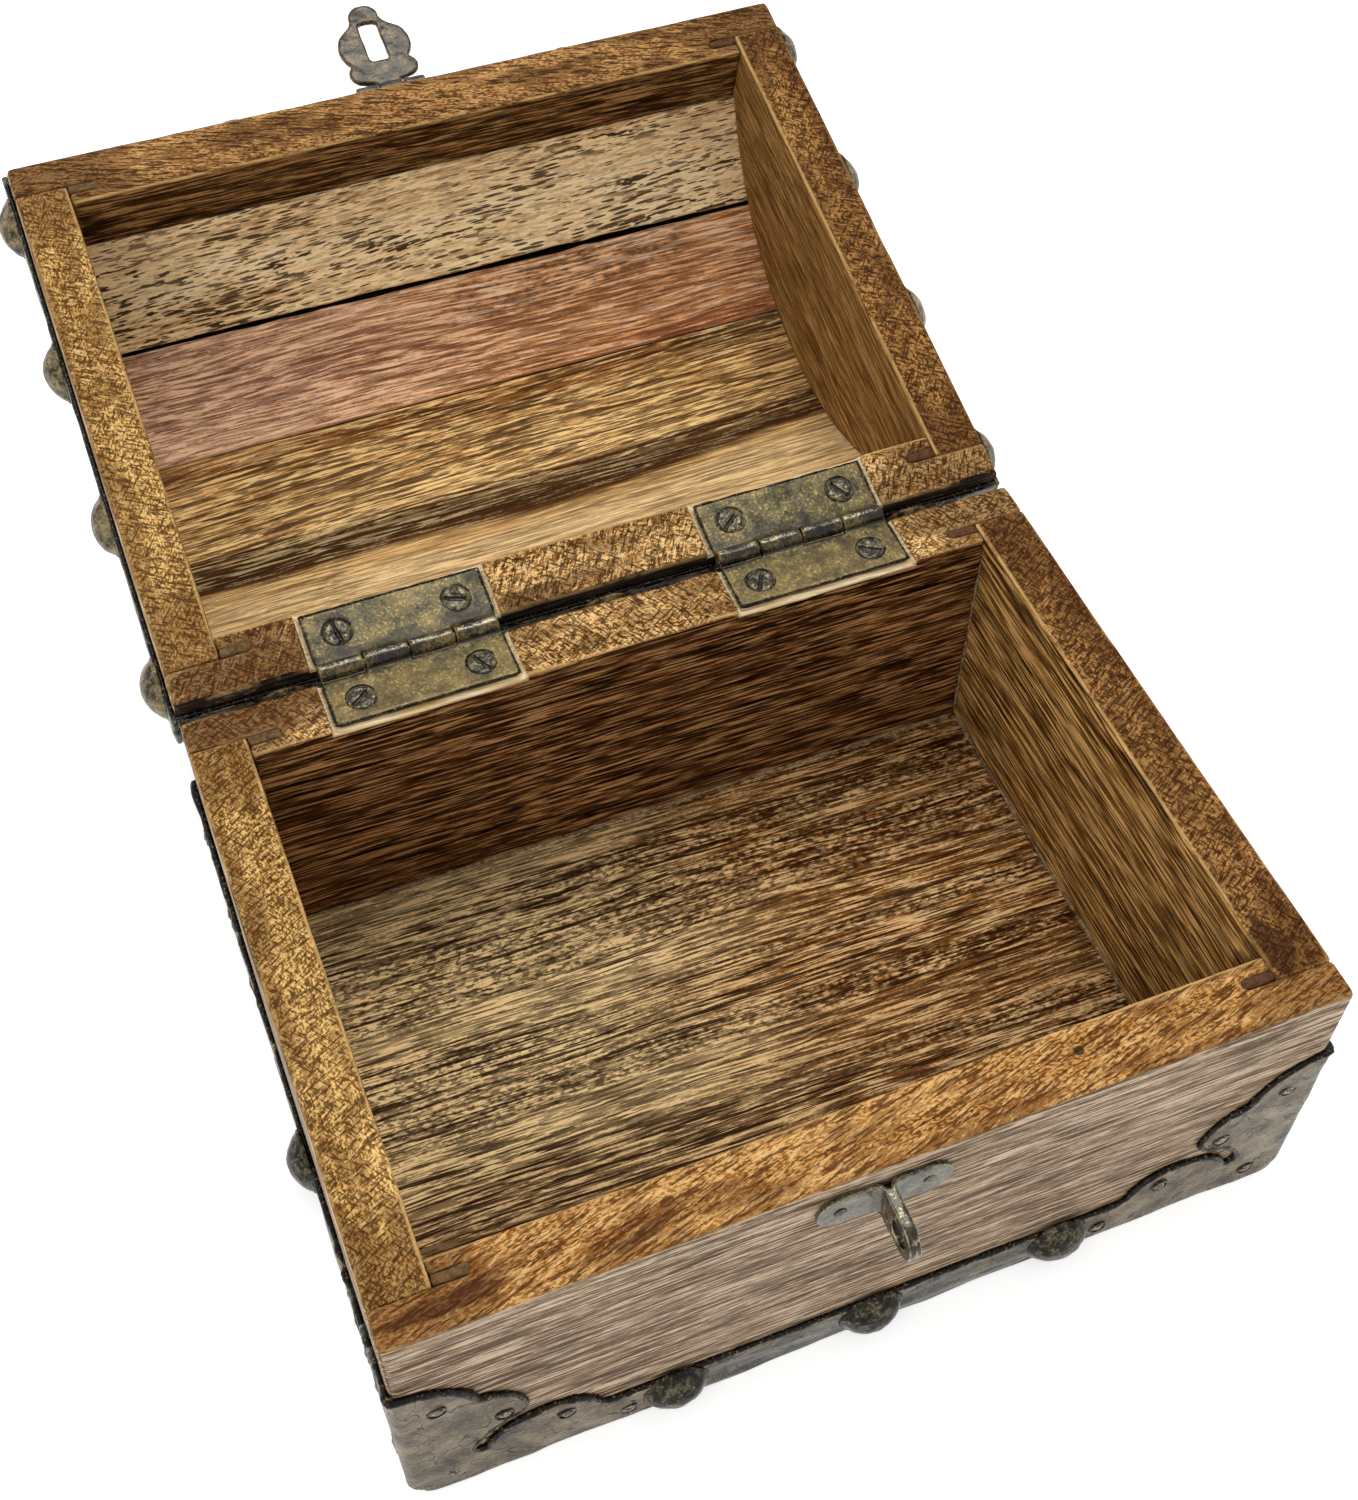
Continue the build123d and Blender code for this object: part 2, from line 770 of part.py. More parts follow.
with BuildPart() as hasp_leaf:
    with BuildSketch(leaf_frame.offset(sheet - hasp_axis_offset)):
        with BuildLine():
            Polyline((0, leaf_rise), (0, 0), (hasp_half, 0), leaf_edge[0])
            arc_chain(leaf_edge)
        make_face()
        mirror(about=Plane.YZ)
    extrude(amount=-sheet)
    with Locations(leaf_frame):
        Box(
            hasp_middle_knuckle + knuckle_gap,
            2 * (hasp_knuckle_radius + knuckle_gap),
            2 * hasp_axis_offset,
            mode=Mode.SUBTRACT,
        )
        with Locations(*[Location((h * outer_knuckle_x, 0, 0), (0, 90, 0)) for h in (-1, 1)]):
            Cylinder(hasp_knuckle_radius, outer_knuckle - knuckle_gap)
        with Locations(Location((0, 0, 0), (0, 90, 0))):
            Cylinder(hasp_pin_radius, hasp_hinge_length + 1, mode=Mode.SUBTRACT)
    add(lid_bores.part, mode=Mode.SUBTRACT)
save(hasp_leaf.part, "hasp_leaf")
save(placed(tack.part, hasp_leaf_tacks), "hasp_leaf_tacks")

with BuildPart(hasp_frame) as hasp_pin:
    with Locations(Location((0, 0, 0), (0, 90, 0))):
        Cylinder(hasp_pin_radius, hasp_hinge_length)
save(hasp_pin.part, "hasp_pin")

neck_width = hasp_middle_knuckle - knuckle_gap
with BuildPart(hasp_frame) as hasp_plate:
    with BuildSketch(hasp_frame):
        with BuildLine():
            Polyline(
                hasp_edge[-1],
                (0, 0),
                (neck_width / 2, 0),
                (neck_width / 2, hasp_neck_length),
                hasp_edge[0],
            )
            arc_chain(hasp_edge)
        make_face()
        mirror(about=Plane.YZ)
        with Locations((0, hasp_slot_centre)):
            RectangleRounded(hasp_slot_width, hasp_slot_length, hasp_slot_radius, mode=Mode.SUBTRACT)
    extrude(amount=hasp_thickness / 2, both=True)
    with Locations(Location((0, 0, 0), (0, 90, 0))):
        Cylinder(hasp_knuckle_radius, neck_width)
        Cylinder(hasp_pin_radius + pin_clearance, neck_width + 1, mode=Mode.SUBTRACT)
save(hasp_plate.part, "hasp_plate")
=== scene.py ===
import json
from cmath import phase, rect
from functools import partial
from itertools import count, product
from math import cos, pi, radians, sin, tau

import bmesh
import bpy
import numpy as np
from mathutils import Matrix, Vector


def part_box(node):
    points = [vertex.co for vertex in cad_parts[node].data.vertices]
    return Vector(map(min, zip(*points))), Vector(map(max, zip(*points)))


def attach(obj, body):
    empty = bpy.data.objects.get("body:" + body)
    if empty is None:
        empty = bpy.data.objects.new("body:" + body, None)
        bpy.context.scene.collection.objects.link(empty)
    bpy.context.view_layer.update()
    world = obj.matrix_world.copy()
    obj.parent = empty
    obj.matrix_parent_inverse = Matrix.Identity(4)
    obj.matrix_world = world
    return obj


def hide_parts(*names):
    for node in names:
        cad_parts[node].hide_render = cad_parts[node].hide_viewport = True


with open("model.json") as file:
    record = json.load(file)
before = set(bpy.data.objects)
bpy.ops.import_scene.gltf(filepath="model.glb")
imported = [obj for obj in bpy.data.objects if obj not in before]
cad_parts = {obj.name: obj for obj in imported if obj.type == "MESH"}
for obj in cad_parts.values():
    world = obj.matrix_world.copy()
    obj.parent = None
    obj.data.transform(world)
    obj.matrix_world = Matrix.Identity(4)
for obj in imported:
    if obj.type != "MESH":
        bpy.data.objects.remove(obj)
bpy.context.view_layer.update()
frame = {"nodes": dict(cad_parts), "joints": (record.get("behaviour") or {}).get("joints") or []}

MM = 0.001

# Sizes read off the frame, in millimetres
half_width, _, wall_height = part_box("front_board")[1] / MM
half_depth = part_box("back_board")[1].y / MM
inner_half_width, inner_half_depth, floor_top = (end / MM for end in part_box("floor_board")[1])
lid_joint = next(joint for joint in frame["joints"] if joint["name"] == "lid_hinge")
open_angle = radians(lid_joint["range_deg"][1])

# Places of the hinges, the roof and the straps, in millimetres of each body's own frame
hinge_x = 36.0
hinge_y = 58.75
hinge_z = 56.0
rim_half_gap = 0.2
mortise_half_length = 16.7
screw_places = -46.5, -25.5, 25.5, 46.5
screw_y = 51.85
screw_reach = 5.0
roof_top = 49.5
roof_underside = 41.5
strap_top = 9.0
lid_strap_foot = 3.2

# From each body's own frame, in millimetres, to the row frame in metres. The hasp lies in the
# lid's frame at rest.
CHEST = Matrix.Scale(MM, 4)
LID = (
    CHEST
    @ Matrix.Translation((0, hinge_y, hinge_z))
    @ Matrix.Rotation(-open_angle, 4, "X")
    @ Matrix.Translation((0, -hinge_y, rim_half_gap))
)
BODY_FRAMES = {"chest": CHEST, "lid": LID, "hasp": LID}


# ---- Camera, lights and floor ----
def add_object(name, data):
    """A new object in the scene."""
    made = bpy.data.objects.new(name, data)
    bpy.context.scene.collection.objects.link(made)
    return made


lens = bpy.data.cameras.new("camera")
lens.lens = 49.09
lens.sensor_width = 36.0
lens.clip_start = 0.01
lens.clip_end = 20.0
camera = add_object("camera", lens)
camera.location = (-0.0780, -0.16553, 0.31957)
camera.rotation_euler = (radians(37.5614), radians(-0.4123), radians(-21.6267))
bpy.context.scene.camera = camera
bpy.context.scene.view_settings.view_transform = "Standard"


# ---- Shader arithmetic ----
def linear(colour):
    """A colour of 0 to 255, as a screen shows it, in a shader's own values. A socket stays."""
    if isinstance(colour, Socket):
        return colour
    return tuple(((c / 255 + 0.055) / 1.055) ** 2.4 if c > 10 else c / 3295 for c in colour)


class Socket:
    """A node's output. Arithmetic on it adds Math nodes, or Vector Math nodes on a vector."""

    def __init__(self, finish, link):
        self.finish = finish
        self.link = link

    def other(self, name):
        """Another output of the same node."""
        return Socket(self.finish, self.link.node.outputs[name])

    def join(self, operation, first, second):
        kind = "VectorMath" if self.link.type == "VECTOR" else "Math"
        return self.finish.node(kind, {"operation": operation}, first, second)

    def __add__(self, value):
        return self.join("ADD", self, value)

    def __sub__(self, value):
        return self.join("SUBTRACT", self, value)

    def __rsub__(self, value):
        return self.join("SUBTRACT", value, self)

    def __mul__(self, value):
        return self.join("MULTIPLY", self, value)

    def __truediv__(self, value):
        return self.join("DIVIDE", self, value)

    def __abs__(self):
        return self.finish.node("Math", {"operation": "ABSOLUTE"}, self)

    def at_least(self, value):
        return self.join("MAXIMUM", self, value)


class Finish:
    """A material, built from nodes."""

    def __init__(self, name, tree=None):
        if tree is None:
            self.material = bpy.data.materials.new(name)
            self.material.use_nodes = True
            tree = self.material.node_tree
        self.tree = tree
        self.tree.nodes.clear()

    def node(self, kind, settings=None, *inputs, **sockets):
        """Adds a node. Its settings go in first, then the values or links of its sockets."""
        made = self.tree.nodes.new("ShaderNode" + kind)
        for key, value in (settings or {}).items():
            if key == "stops":
                self.set_stops(made.color_ramp, value)
            else:
                setattr(made, key, value)
        for i, value in enumerate(inputs):
            self.feed(made.inputs[i], value)
        for key, value in sockets.items():
            self.feed(self.find(made, key), value)
        shown = [o for o in made.outputs if o.enabled]
        return Socket(self, shown[0]) if shown else made

    @staticmethod
    def find(made, key):
        """A node's input by its identifier, or by its name with spaces."""
        for socket in made.inputs:
            if socket.identifier == key:
                return socket
        return made.inputs[key.replace("_", " ")]

    def feed(self, socket, value):
        if isinstance(value, Socket):
            self.tree.links.new(value.link, socket)
        elif socket.type == "RGBA":
            socket.default_value = (*value[:3], 1.0)
        elif socket.type == "VECTOR" and isinstance(value, (int, float)):
            socket.default_value = (value, value, value)
        else:
            socket.default_value = value

    @staticmethod
    def set_stops(ramp, stops):
        while len(ramp.elements) < len(stops):
            ramp.elements.new(1.0)
        for element, (position, colour) in zip(ramp.elements, stops):
            element.position = position
            element.color = (*linear(colour), 1.0)

    def noise(self, at, size, detail=2.0, roughness=0.5, distortion=0.0):
        """Cloudy noise from 0 to 1 whose grains are about `size` across."""
        return self.node(
            "TexNoise", None, Vector=at * tuple(1 / s for s in size), Scale=1.0, Detail=detail,
            Roughness=roughness, Distortion=distortion,
        )

    def cells(self, at, size):
        """Distance from the nearest of points scattered about `size` apart."""
        return self.node("TexVoronoi", None, Vector=at * tuple(1 / s for s in size), Scale=1.0)

    def fade(self, value, start, stop):
        """Smooth step from 0 at start to 1 at stop."""
        settings = {"interpolation_type": "SMOOTHSTEP"}
        return self.node("MapRange", settings, value, start, stop, 0.0, 1.0)

    def ramp(self, value, *stops):
        """Colours at places from 0 to 1, with a smooth passage between them."""
        return self.node("ValToRGB", {"stops": stops}, value)

    def mix(self, factor, first, second):
        """Blend of two colours: the first at 0 and the second at 1."""
        tones = {"A_Color": linear(first), "B_Color": linear(second)}
        return self.node("Mix", {"data_type": "RGBA"}, Factor_Float=factor, **tones)

    def parts(self, vector):
        """X, Y and Z of a vector."""
        x = self.node("SeparateXYZ", None, vector)
        return x, x.other("Y"), x.other("Z")

    def reach(self, across, up):
        """Distance from a line, given how far off it is in two directions."""
        return self.node("Math", {"operation": "SQRT"}, across * across + up * up)

    def wear(self):
        """What edge_wear has left on the mesh: above 0 on its edges and below 0 in its hollows."""
        return self.node("Attribute", {"attribute_name": "wear"}).other("Fac")

    def surface(self, **sockets):
        """Principled surface on the material's output."""
        shader = self.node("BsdfPrincipled", None, **sockets)
        self.node("OutputMaterial", None, shader)
        return self.material


def backdrop_rays(finish):
    """1 for the rays that see the backdrop: from the camera, or off gloss, or through glass."""
    path = finish.node("LightPath")
    seen = path.at_least(path.other("Is Glossy Ray"))
    return seen.at_least(path.other("Is Transmission Ray"))


# White all round for the camera and in reflections, and a plain level of light on the chest
world = bpy.data.worlds.new("studio")
world.use_nodes = True
bpy.context.scene.world = world
sky = Finish("studio", world.node_tree)
fill = sky.node("Background", None, Color=(1.0, 1.0, 1.0), Strength=0.72)
white = sky.node("Background", None, Color=(1.0, 1.0, 1.0), Strength=1.0)
sky.node("OutputWorld", None, sky.node("MixShader", None, backdrop_rays(sky), fill, white))


def area_light(name, place, size, power):
    """A square soft light aimed at the chest."""
    lamp = bpy.data.lights.new(name, "AREA")
    lamp.size = size
    lamp.energy = power
    made = add_object(name, lamp)
    made.location = place
    towards = Vector((0.0, 0.04, 0.03)) - Vector(place)
    made.rotation_euler = towards.to_track_quat("-Z", "Y").to_euler()


area_light("overhead", (0.2, 0.5, 1.3), size=0.6, power=7.5)
area_light("side", (-1.0, -0.6, 0.9), size=0.5, power=3.4)

floor_mesh = bpy.data.meshes.new("studio_floor")
far, level = 4, -0.0001
paper_corners = [(-far, -far, level), (far, -far, level), (far, far, level), (-far, far, level)]
floor_mesh.from_pydata(paper_corners, [], [(0, 1, 2, 3)])
studio_floor = add_object("studio_floor", floor_mesh)
paper = Finish("paper")
matt = paper.node("BsdfDiffuse", None, Color=(0.9, 0.9, 0.9))
lift = paper.node("Emission", None, Color=(1.0, 1.0, 1.0), Strength=backdrop_rays(paper) * 0.52)
paper.node("OutputMaterial", None, paper.node("AddShader", None, matt, lift))
floor_mesh.materials.append(paper.material)


# ---- Wood ----
def grain_place(body_frame, skew, along):
    """Location and turn of a board's grain in the row frame, in metres."""
    turn = 0.0 if along == "X" else pi / 2
    matrix = body_frame.normalized() @ Matrix.Rotation(turn + radians(skew), 4, "Z")
    return matrix.translation, matrix.to_euler()


class Wood(Finish):
    """Board with open pores. Places are in millimetres, with X along the grain."""

    def __init__(self, name, body_frame, seed, along, skew, wave):
        super().__init__(name)
        at = self.node("TexCoord").other("Object")
        settings = {"vector_type": "TEXTURE"}
        self.board = self.node("Mapping", settings, at, *grain_place(body_frame, 0, along)) * 1000.0
        turned = self.node("Mapping", settings, at, *grain_place(body_frame, skew, along))
        self.grain = turned * 1000.0 + (seed * 37.0, seed * 91.0, seed * 53.0)
        wander = self.noise(self.grain, (55, 17, 17), 1.0).other("Color")
        sway = self.node("VectorMath", {"operation": "SUBTRACT"}, wander, 0.5)
        self.flow = self.grain + sway * (0.0, wave, wave)

    def wide(self, value, gain):
        """A noise's swing about its middle, made wider."""
        return (value - 0.5) * gain

    def turned(self, place, angle):
        """Places turned in the board's face, so that strokes slant by an angle."""
        return self.node("Mapping", None, place, (0, 0, 0), (0, 0, radians(angle)))

    def strokes(self, place, length, width, level, soft=0.06):
        """Thin strokes along the places' X: 1 inside a stroke and 0 outside."""
        mottle = self.noise(place, (length, width, width), 2.0, 0.6)
        return self.fade(mottle, level, level + soft)


inner_rise = 28.5
inner_circle = (inner_half_depth**2 + inner_rise**2) / (2 * inner_rise)
inner_centre = roof_underside - inner_circle
outer_rise = 35.5
outer_circle = (half_depth**2 + outer_rise**2) / (2 * outer_rise)
outer_centre = roof_top - outer_circle

# Tones of the stained outside, paled by a painted sheen: dark, middling, pale, and its lines
OUTSIDE_WITH_SHEEN = (112, 86, 64), (196, 170, 140), (228, 206, 176), (76, 54, 38)


def box_outside(face):
    """Tells the outer face and the ends of a board from the rest of it."""

    def told(wood, place):
        x, y, _ = place
        flank = wood.fade(abs(y), face - 0.4, face - 0.1)
        return wood.fade(abs(x), half_width - 0.4, half_width - 0.1).at_least(flank)

    return told


def dome_outside(wood, place):
    """Tells the outer face and the ends of a plank from the rest of it."""
    x, y, z = place
    reach = wood.reach(y, z - outer_centre)
    shell = wood.fade(reach, outer_circle - 0.6, outer_circle - 0.3)
    return wood.fade(abs(x), half_width - 0.4, half_width - 0.1).at_least(shell)


def stained(wood, colour, place, marks, ragged):
    """Knots, stains and dark bands: centre, half length, half width, slant, tone and how strong."""
    x, y, _ = place
    for centre_x, centre_y, length, width, slant, tone, strength in marks:
        over_x, over_y = x - centre_x, y - centre_y
        lean = radians(slant)
        lengthwise = (over_x * cos(lean) + over_y * sin(lean)) / length
        across = (over_y * cos(lean) - over_x * sin(lean)) / width
        reach = wood.reach(lengthwise, across) + wood.wide(ragged, 2.2)
        colour = wood.mix(wood.fade(reach, 1.15, 0.85) * strength, colour, tone)
    return colour


def board_wood(
    name, body_frame, seed, tones, line_tone, along="X", skew=0.0, wave=4.0, band=8.0, patchy=1.1,
    streak=0.6, fine=0.8, grit=0.6, pull=0.8, lines=0.7, dash=24.0, width=0.7, thin=0.85, pores=0.5,
    flecks=0.0, smudge=0.3, middle=None, rim=None, outside=None, mortise=None, marks=(), seam=0.0,
):
    """Wood of one board, with its rim and its outside told apart by where they are.

    band, patchy, streak, fine, grit and pull say how its tone varies, from broad bands to grains.
    lines, dash, width and thin say how strong, long and wide its dark lines are. middle gives the
    colour of one particular board, mortise the rim that its hinge leaves are let into, and
    seam how deep into its open joints the painted shade of the gaps starts.
    """
    wood = Wood(name, body_frame, seed, along, skew, wave)
    x, y, z = place = wood.parts(wood.board)
    bands = wood.noise(wood.flow, (120, band, band), 2.0)
    streaks = wood.noise(wood.flow, (40, 1.9, 1.9), 2.0, 0.6)
    hairs = wood.noise(wood.flow, (10, 0.5, 0.5), 1.0)
    sand = wood.noise(wood.grain, (0.8, 0.4, 0.4), 1.0)
    thread = wood.fade(hairs, 0.4, 0.6)
    tone = wood.wide(bands, patchy) + wood.wide(streaks, streak) + wood.wide(thread, fine)
    tone = tone + wood.wide(sand, grit) + 0.5
    plain = middle(wood, place, bands) if middle else tones[1]
    low, high, line_colour, beyond = tones[0], tones[2], line_tone, 0.0
    if outside:
        beyond = outside(wood, place)
        # The outer faces and ends take the outside tones, paled by a painted sheen
        pairs = zip((low, plain, high, line_tone), OUTSIDE_WITH_SHEEN)
        low, plain, high, line_colour = (wood.mix(beyond, inner, outer) for inner, outer in pairs)
    colour = wood.mix(wood.fade(tone, 0.5, 0.0), plain, wood.mix(pull, plain, low))
    colour = wood.mix(wood.fade(tone, 0.5, 1.0), colour, wood.mix(pull, plain, high))
    where = wood.fade(wood.noise(wood.grain, (60, 11, 11), 2.0), 0.36, 0.52) * 0.65 + 0.35
    broad_lines = wood.strokes(wood.flow, dash, width, 0.55, 0.03) * where
    thin_lines = wood.strokes(wood.flow, dash * 0.7, 0.42, 0.56, 0.03)
    dark_lines = broad_lines.at_least(thin_lines * thin) * lines
    near = wood.cells(wood.flow, (5, 0.55, 0.55))
    crowding = wood.wide(wood.noise(wood.grain, (22, 7, 7), 2.0), 0.9)
    holes = wood.fade(near - crowding, 0.33, 0.26) * pores
    if flecks:
        grain_bands = wood.fade(wood.noise(wood.flow, (200, 9, 9), 2.0), 0.44, 0.56)
        speck = wood.noise(wood.grain, (1.3, 0.6, 0.6), 1.0)
        colour = wood.mix(wood.fade(speck, 0.52, 0.58) * grain_bands * flecks, colour, line_tone)
        colour = wood.mix(wood.fade(speck, 0.44, 0.38) * grain_bands * flecks * 0.6, colour, tones[2])
    dark = dark_lines.at_least(holes)
    colour = wood.mix(dark, colour, line_colour)
    cloud = wood.noise(wood.grain, (10, 6, 6), 5.0, 0.7)
    colour = wood.mix(wood.fade(cloud, 0.5, 0.72) * smudge, colour, line_colour)
    relief = thread * 0.35 + sand * 0.4 - dark
    if rim:
        colour, relief = rim_of(wood, colour, relief, rim, place)
    colour = stained(wood, colour, place, marks, cloud)
    if mortise:
        level, sign = mortise
        cut = wood.fade(z * sign, level * sign - 0.25, level * sign - 0.45)
        deep = wood.fade(z * sign, level * sign - 1.6, level * sign - 1.3)
        off_hinge = abs(abs(x) - hinge_x)
        near_leaf = wood.fade(off_hinge, mortise_half_length + 0.4, mortise_half_length)
        fresh = wood.ramp(hairs, (0.3, (206, 168, 108)), (0.55, (250, 228, 184)))
        colour = wood.mix(cut * deep * near_leaf * 0.95, colour, fresh)
    worn = wood.fade(wood.wear(), 0.05, 0.14) * wood.fade(cloud, 0.42, 0.58)
    colour = wood.mix(worn * 0.35, colour, tones[2])
    if seam:
        # Painted shade inside the open joints between planks, below a given depth under the inner face
        depth = wood.reach(y, z - inner_centre)
        painted_gap_shade = wood.fade(depth, inner_circle + seam, inner_circle + seam + 0.5) * (1.0 - beyond)
        colour = wood.mix(painted_gap_shade * 0.95, colour, (14, 8, 5))
    bump = wood.node("Bump", None, Strength=0.7, Distance=0.0003, Height=relief)
    return wood.surface(
        Base_Color=colour, Roughness=dark * 0.25 + 0.48, Specular_IOR_Level=0.03,
        Coat_Weight=beyond * 0.1 + 0.01, Coat_Roughness=0.26, Coat_IOR=1.4, Normal=bump,
    )


def rim_of(wood, colour, relief, rim, place):
    """The sanded rim of a board: slanting strokes, burnt patches and a pale worn edge."""
    level, sign, centre, half, reach, tones, hatched = rim
    x, y, z = place
    top = wood.fade(z * sign, level * sign - 0.5, level * sign - 0.12)
    bands = wood.noise(wood.flow, (50, 4, 4), 3.0)
    fine = wood.fade(wood.noise(wood.grain, (0.8, 0.4, 0.4), 1.0), 0.4, 0.6)
    if hatched:
        one, other = wood.turned(wood.flow, 57), wood.turned(wood.grain, -38)
        crossing = wood.strokes(other, 2.6, 0.4, 0.57, 0.03)
        cuts = wood.strokes(one, 2.3, 0.46, 0.545, 0.03).at_least(crossing) * 0.8
        glints = wood.strokes(wood.turned(wood.grain, 63), 2.1, 0.42, 0.56, 0.03)
        tone = wood.wide(bands, 0.7) + wood.wide(fine, 0.6) + 0.5
    else:
        cuts = wood.strokes(wood.turned(wood.flow, -15), 5.0, 0.52, 0.545, 0.03) * 0.8
        glints = wood.strokes(wood.turned(wood.flow, -24), 2.8, 0.46, 0.55, 0.03)
        tone = wood.wide(bands, 1.0) + wood.wide(fine, 0.5) + 0.5
    face = wood.ramp(tone, (0.1, tones[0]), (0.5, tones[1]), (0.9, tones[2]))
    face = wood.mix(glints * 0.7, face, tones[2])
    patches = wood.noise(wood.grain, (15, 5, 5), 4.0, 0.65)
    corner = wood.fade(abs(x), reach - 26, reach - 8) * 0.2
    outward = wood.fade(abs(y) - centre, -half * 0.4, half) * 0.07
    burnt = wood.fade(patches + corner + outward + wood.wide(fine, 0.1), 0.54, 0.66)
    face = wood.mix(burnt * 0.6, face, tones[3])
    face = wood.mix(cuts, face, tones[4])
    inside = wood.fade(centre - abs(y), half - 0.8, half - 0.3)
    face = wood.mix(inside * wood.fade(patches, 0.4, 0.55) * 0.8, face, (222, 178, 114))
    return wood.mix(top, colour, face), relief + top * (glints - cuts) * 0.6


# Tones of a rim: dark, middling, pale, burnt, and its cuts
RIM = (126, 76, 28), (186, 132, 70), (240, 192, 124), (96, 54, 22), (80, 40, 12)
BACK_RIM = (106, 64, 22), (190, 138, 74), (252, 210, 144), (76, 40, 15), (46, 22, 5)
RIGHT_RIM = (86, 50, 20), (132, 88, 44), (188, 140, 80), (80, 46, 22), (52, 26, 8)
LID_RIM = (92, 56, 22), (148, 102, 54), (210, 162, 102), (72, 40, 18), (52, 26, 8)
LEFT_RIM = (116, 78, 30), (184, 136, 70), (244, 202, 130), (108, 68, 32), (70, 40, 12)

# A rim: its level and which way it faces, its middle, half width and end, its tones, and whether
# its strokes cross
body_level, lid_level = (wall_height, 1), (0.0, -1)
board_rim = (inner_half_depth + half_depth) / 2, (half_depth - inner_half_depth) / 2, half_width
side_rim = (inner_half_width + half_width) / 2, (half_width - inner_half_width) / 2, half_depth
woods = {}


def paler_left_with_sheen(wood, place, bands):
    """Floor: paler leftwards, partly own tone, partly painted sheen; darker towards its front."""
    x, y, _ = place
    # Paler towards the left end: partly the floor's own tone, partly a painted sheen
    pale_and_sheen = wood.fade(x + wood.wide(bands, 50), 24, -32)
    colour = wood.mix(pale_and_sheen, (166, 112, 56), (255, 222, 160))
    return wood.mix(wood.fade(y + wood.wide(bands, 26), -8, -30) * 0.8, colour, (142, 98, 56))


woods["front_board"] = board_wood(
    "front_board_wood", CHEST, 1, ((60, 38, 18), (112, 78, 44), (170, 130, 84)), (40, 20, 8), dash=15,
    lines=0.85, width=0.52, patchy=0.6, streak=0.25, fine=0.75, smudge=0.1, wave=1.2,
    rim=(*body_level, *board_rim, RIM, False), outside=box_outside(half_depth),
    marks=(
        (32.6, -50.55, 0.8, 0.7, 0, (46, 38, 24), 0.9),
        (-32.2, -50.7, 1.0, 0.6, 20, (80, 46, 22), 0.8),
        (-36.0, -53.8, 5.0, 1.0, 15, (84, 44, 24), 0.6),
        (-66.0, -53.6, 9.0, 1.3, 3, (70, 34, 20), 0.65),
        (-58.0, -52.0, 6.0, 0.8, 8, (78, 40, 22), 0.55),
        (67.0, -50.6, 4.0, 1.0, 4, (64, 34, 18), 0.6),
    ),
)
woods["back_board"] = board_wood(
    "back_board_wood", CHEST, 2, ((48, 20, 4), (146, 98, 54), (210, 160, 104)), (12, 3, 1), skew=-1.5,
    dash=26, lines=0.95, width=0.55, patchy=0.9, pores=0.4, streak=0.3, fine=1.0, wave=2.0,
    rim=(*body_level, *board_rim, BACK_RIM, True), outside=box_outside(half_depth), mortise=body_level,
    marks=(
        (-60.0, 53.5, 17.0, 4.6, 0, (84, 48, 24), 0.5),
        # A near-black band over the back face and the back edge of the rim, along the hinge line
        (0.0, 57.5, 90.0, 0.9, 0, (14, 10, 7), 0.9),
    ),
)
for seed, side, tones, marks in (
    (3, "left_board", LEFT_RIM, ()),
    (4, "right_board", RIGHT_RIM, ((-45.5, -68.8, 4.6, 3.0, 20, (50, 27, 14), 0.6),)),
):
    woods[side] = board_wood(
        side + "_wood", CHEST, seed, ((90, 52, 14), (198, 146, 78), (240, 194, 124)), (34, 14, 3),
        along="Y", pores=0.3, lines=0.95, width=0.52, patchy=0.8, streak=0.25, fine=1.0, smudge=0.2,
        wave=2.0, marks=marks, rim=(*body_level, *side_rim, tones, True),
        outside=box_outside(half_width),
    )
woods["floor_board"] = board_wood(
    "floor_wood", CHEST, 5, ((75, 41, 12), (160, 122, 76), (250, 211, 151)), (42, 16, 0), skew=-1,
    dash=17, lines=0.95, width=0.56, pores=0.6, fine=1.1, grit=1.6, flecks=0.7, pull=0.65, smudge=0.15,
    band=13.0, patchy=1.5, wave=3.0, middle=paler_left_with_sheen,
)
woods["lid_rail_front"] = board_wood(
    "front_rail_wood", LID, 6, ((38, 16, 3), (112, 76, 40), (176, 136, 84)), (18, 7, 2), dash=14,
    lines=0.9, fine=1.0, rim=(*lid_level, *board_rim, LID_RIM, False), outside=box_outside(half_depth),
)
woods["lid_rail_back"] = board_wood(
    "back_rail_wood", LID, 7, ((84, 46, 14), (150, 106, 56), (206, 164, 106)), (44, 22, 8),
    rim=(*lid_level, *board_rim, BACK_RIM, True), outside=box_outside(half_depth), mortise=lid_level,
    marks=(
        (-60.0, 53.0, 18.0, 4.8, 0, (80, 46, 24), 0.5),
        (-13.0, 55.6, 7.0, 1.8, 0, (56, 32, 16), 0.5),
        # A near-black band over the back face and the back edge of the rim, along the hinge line
        (0.0, 57.5, 90.0, 0.9, 0, (14, 10, 7), 0.9),
    ),
)
for seed, side, tones in ((8, "lid_end_left", LEFT_RIM), (9, "lid_end_right", RIGHT_RIM)):
    woods[side] = board_wood(
        side + "_wood", LID, seed, ((92, 60, 24), (148, 108, 58), (190, 150, 94)), (56, 34, 12),
        along="Y", pores=0.3, dash=9, lines=0.45, fine=0.7, grit=0.5, smudge=0.35,
        rim=(*lid_level, *side_rim, tones, True), outside=box_outside(half_width),
    )


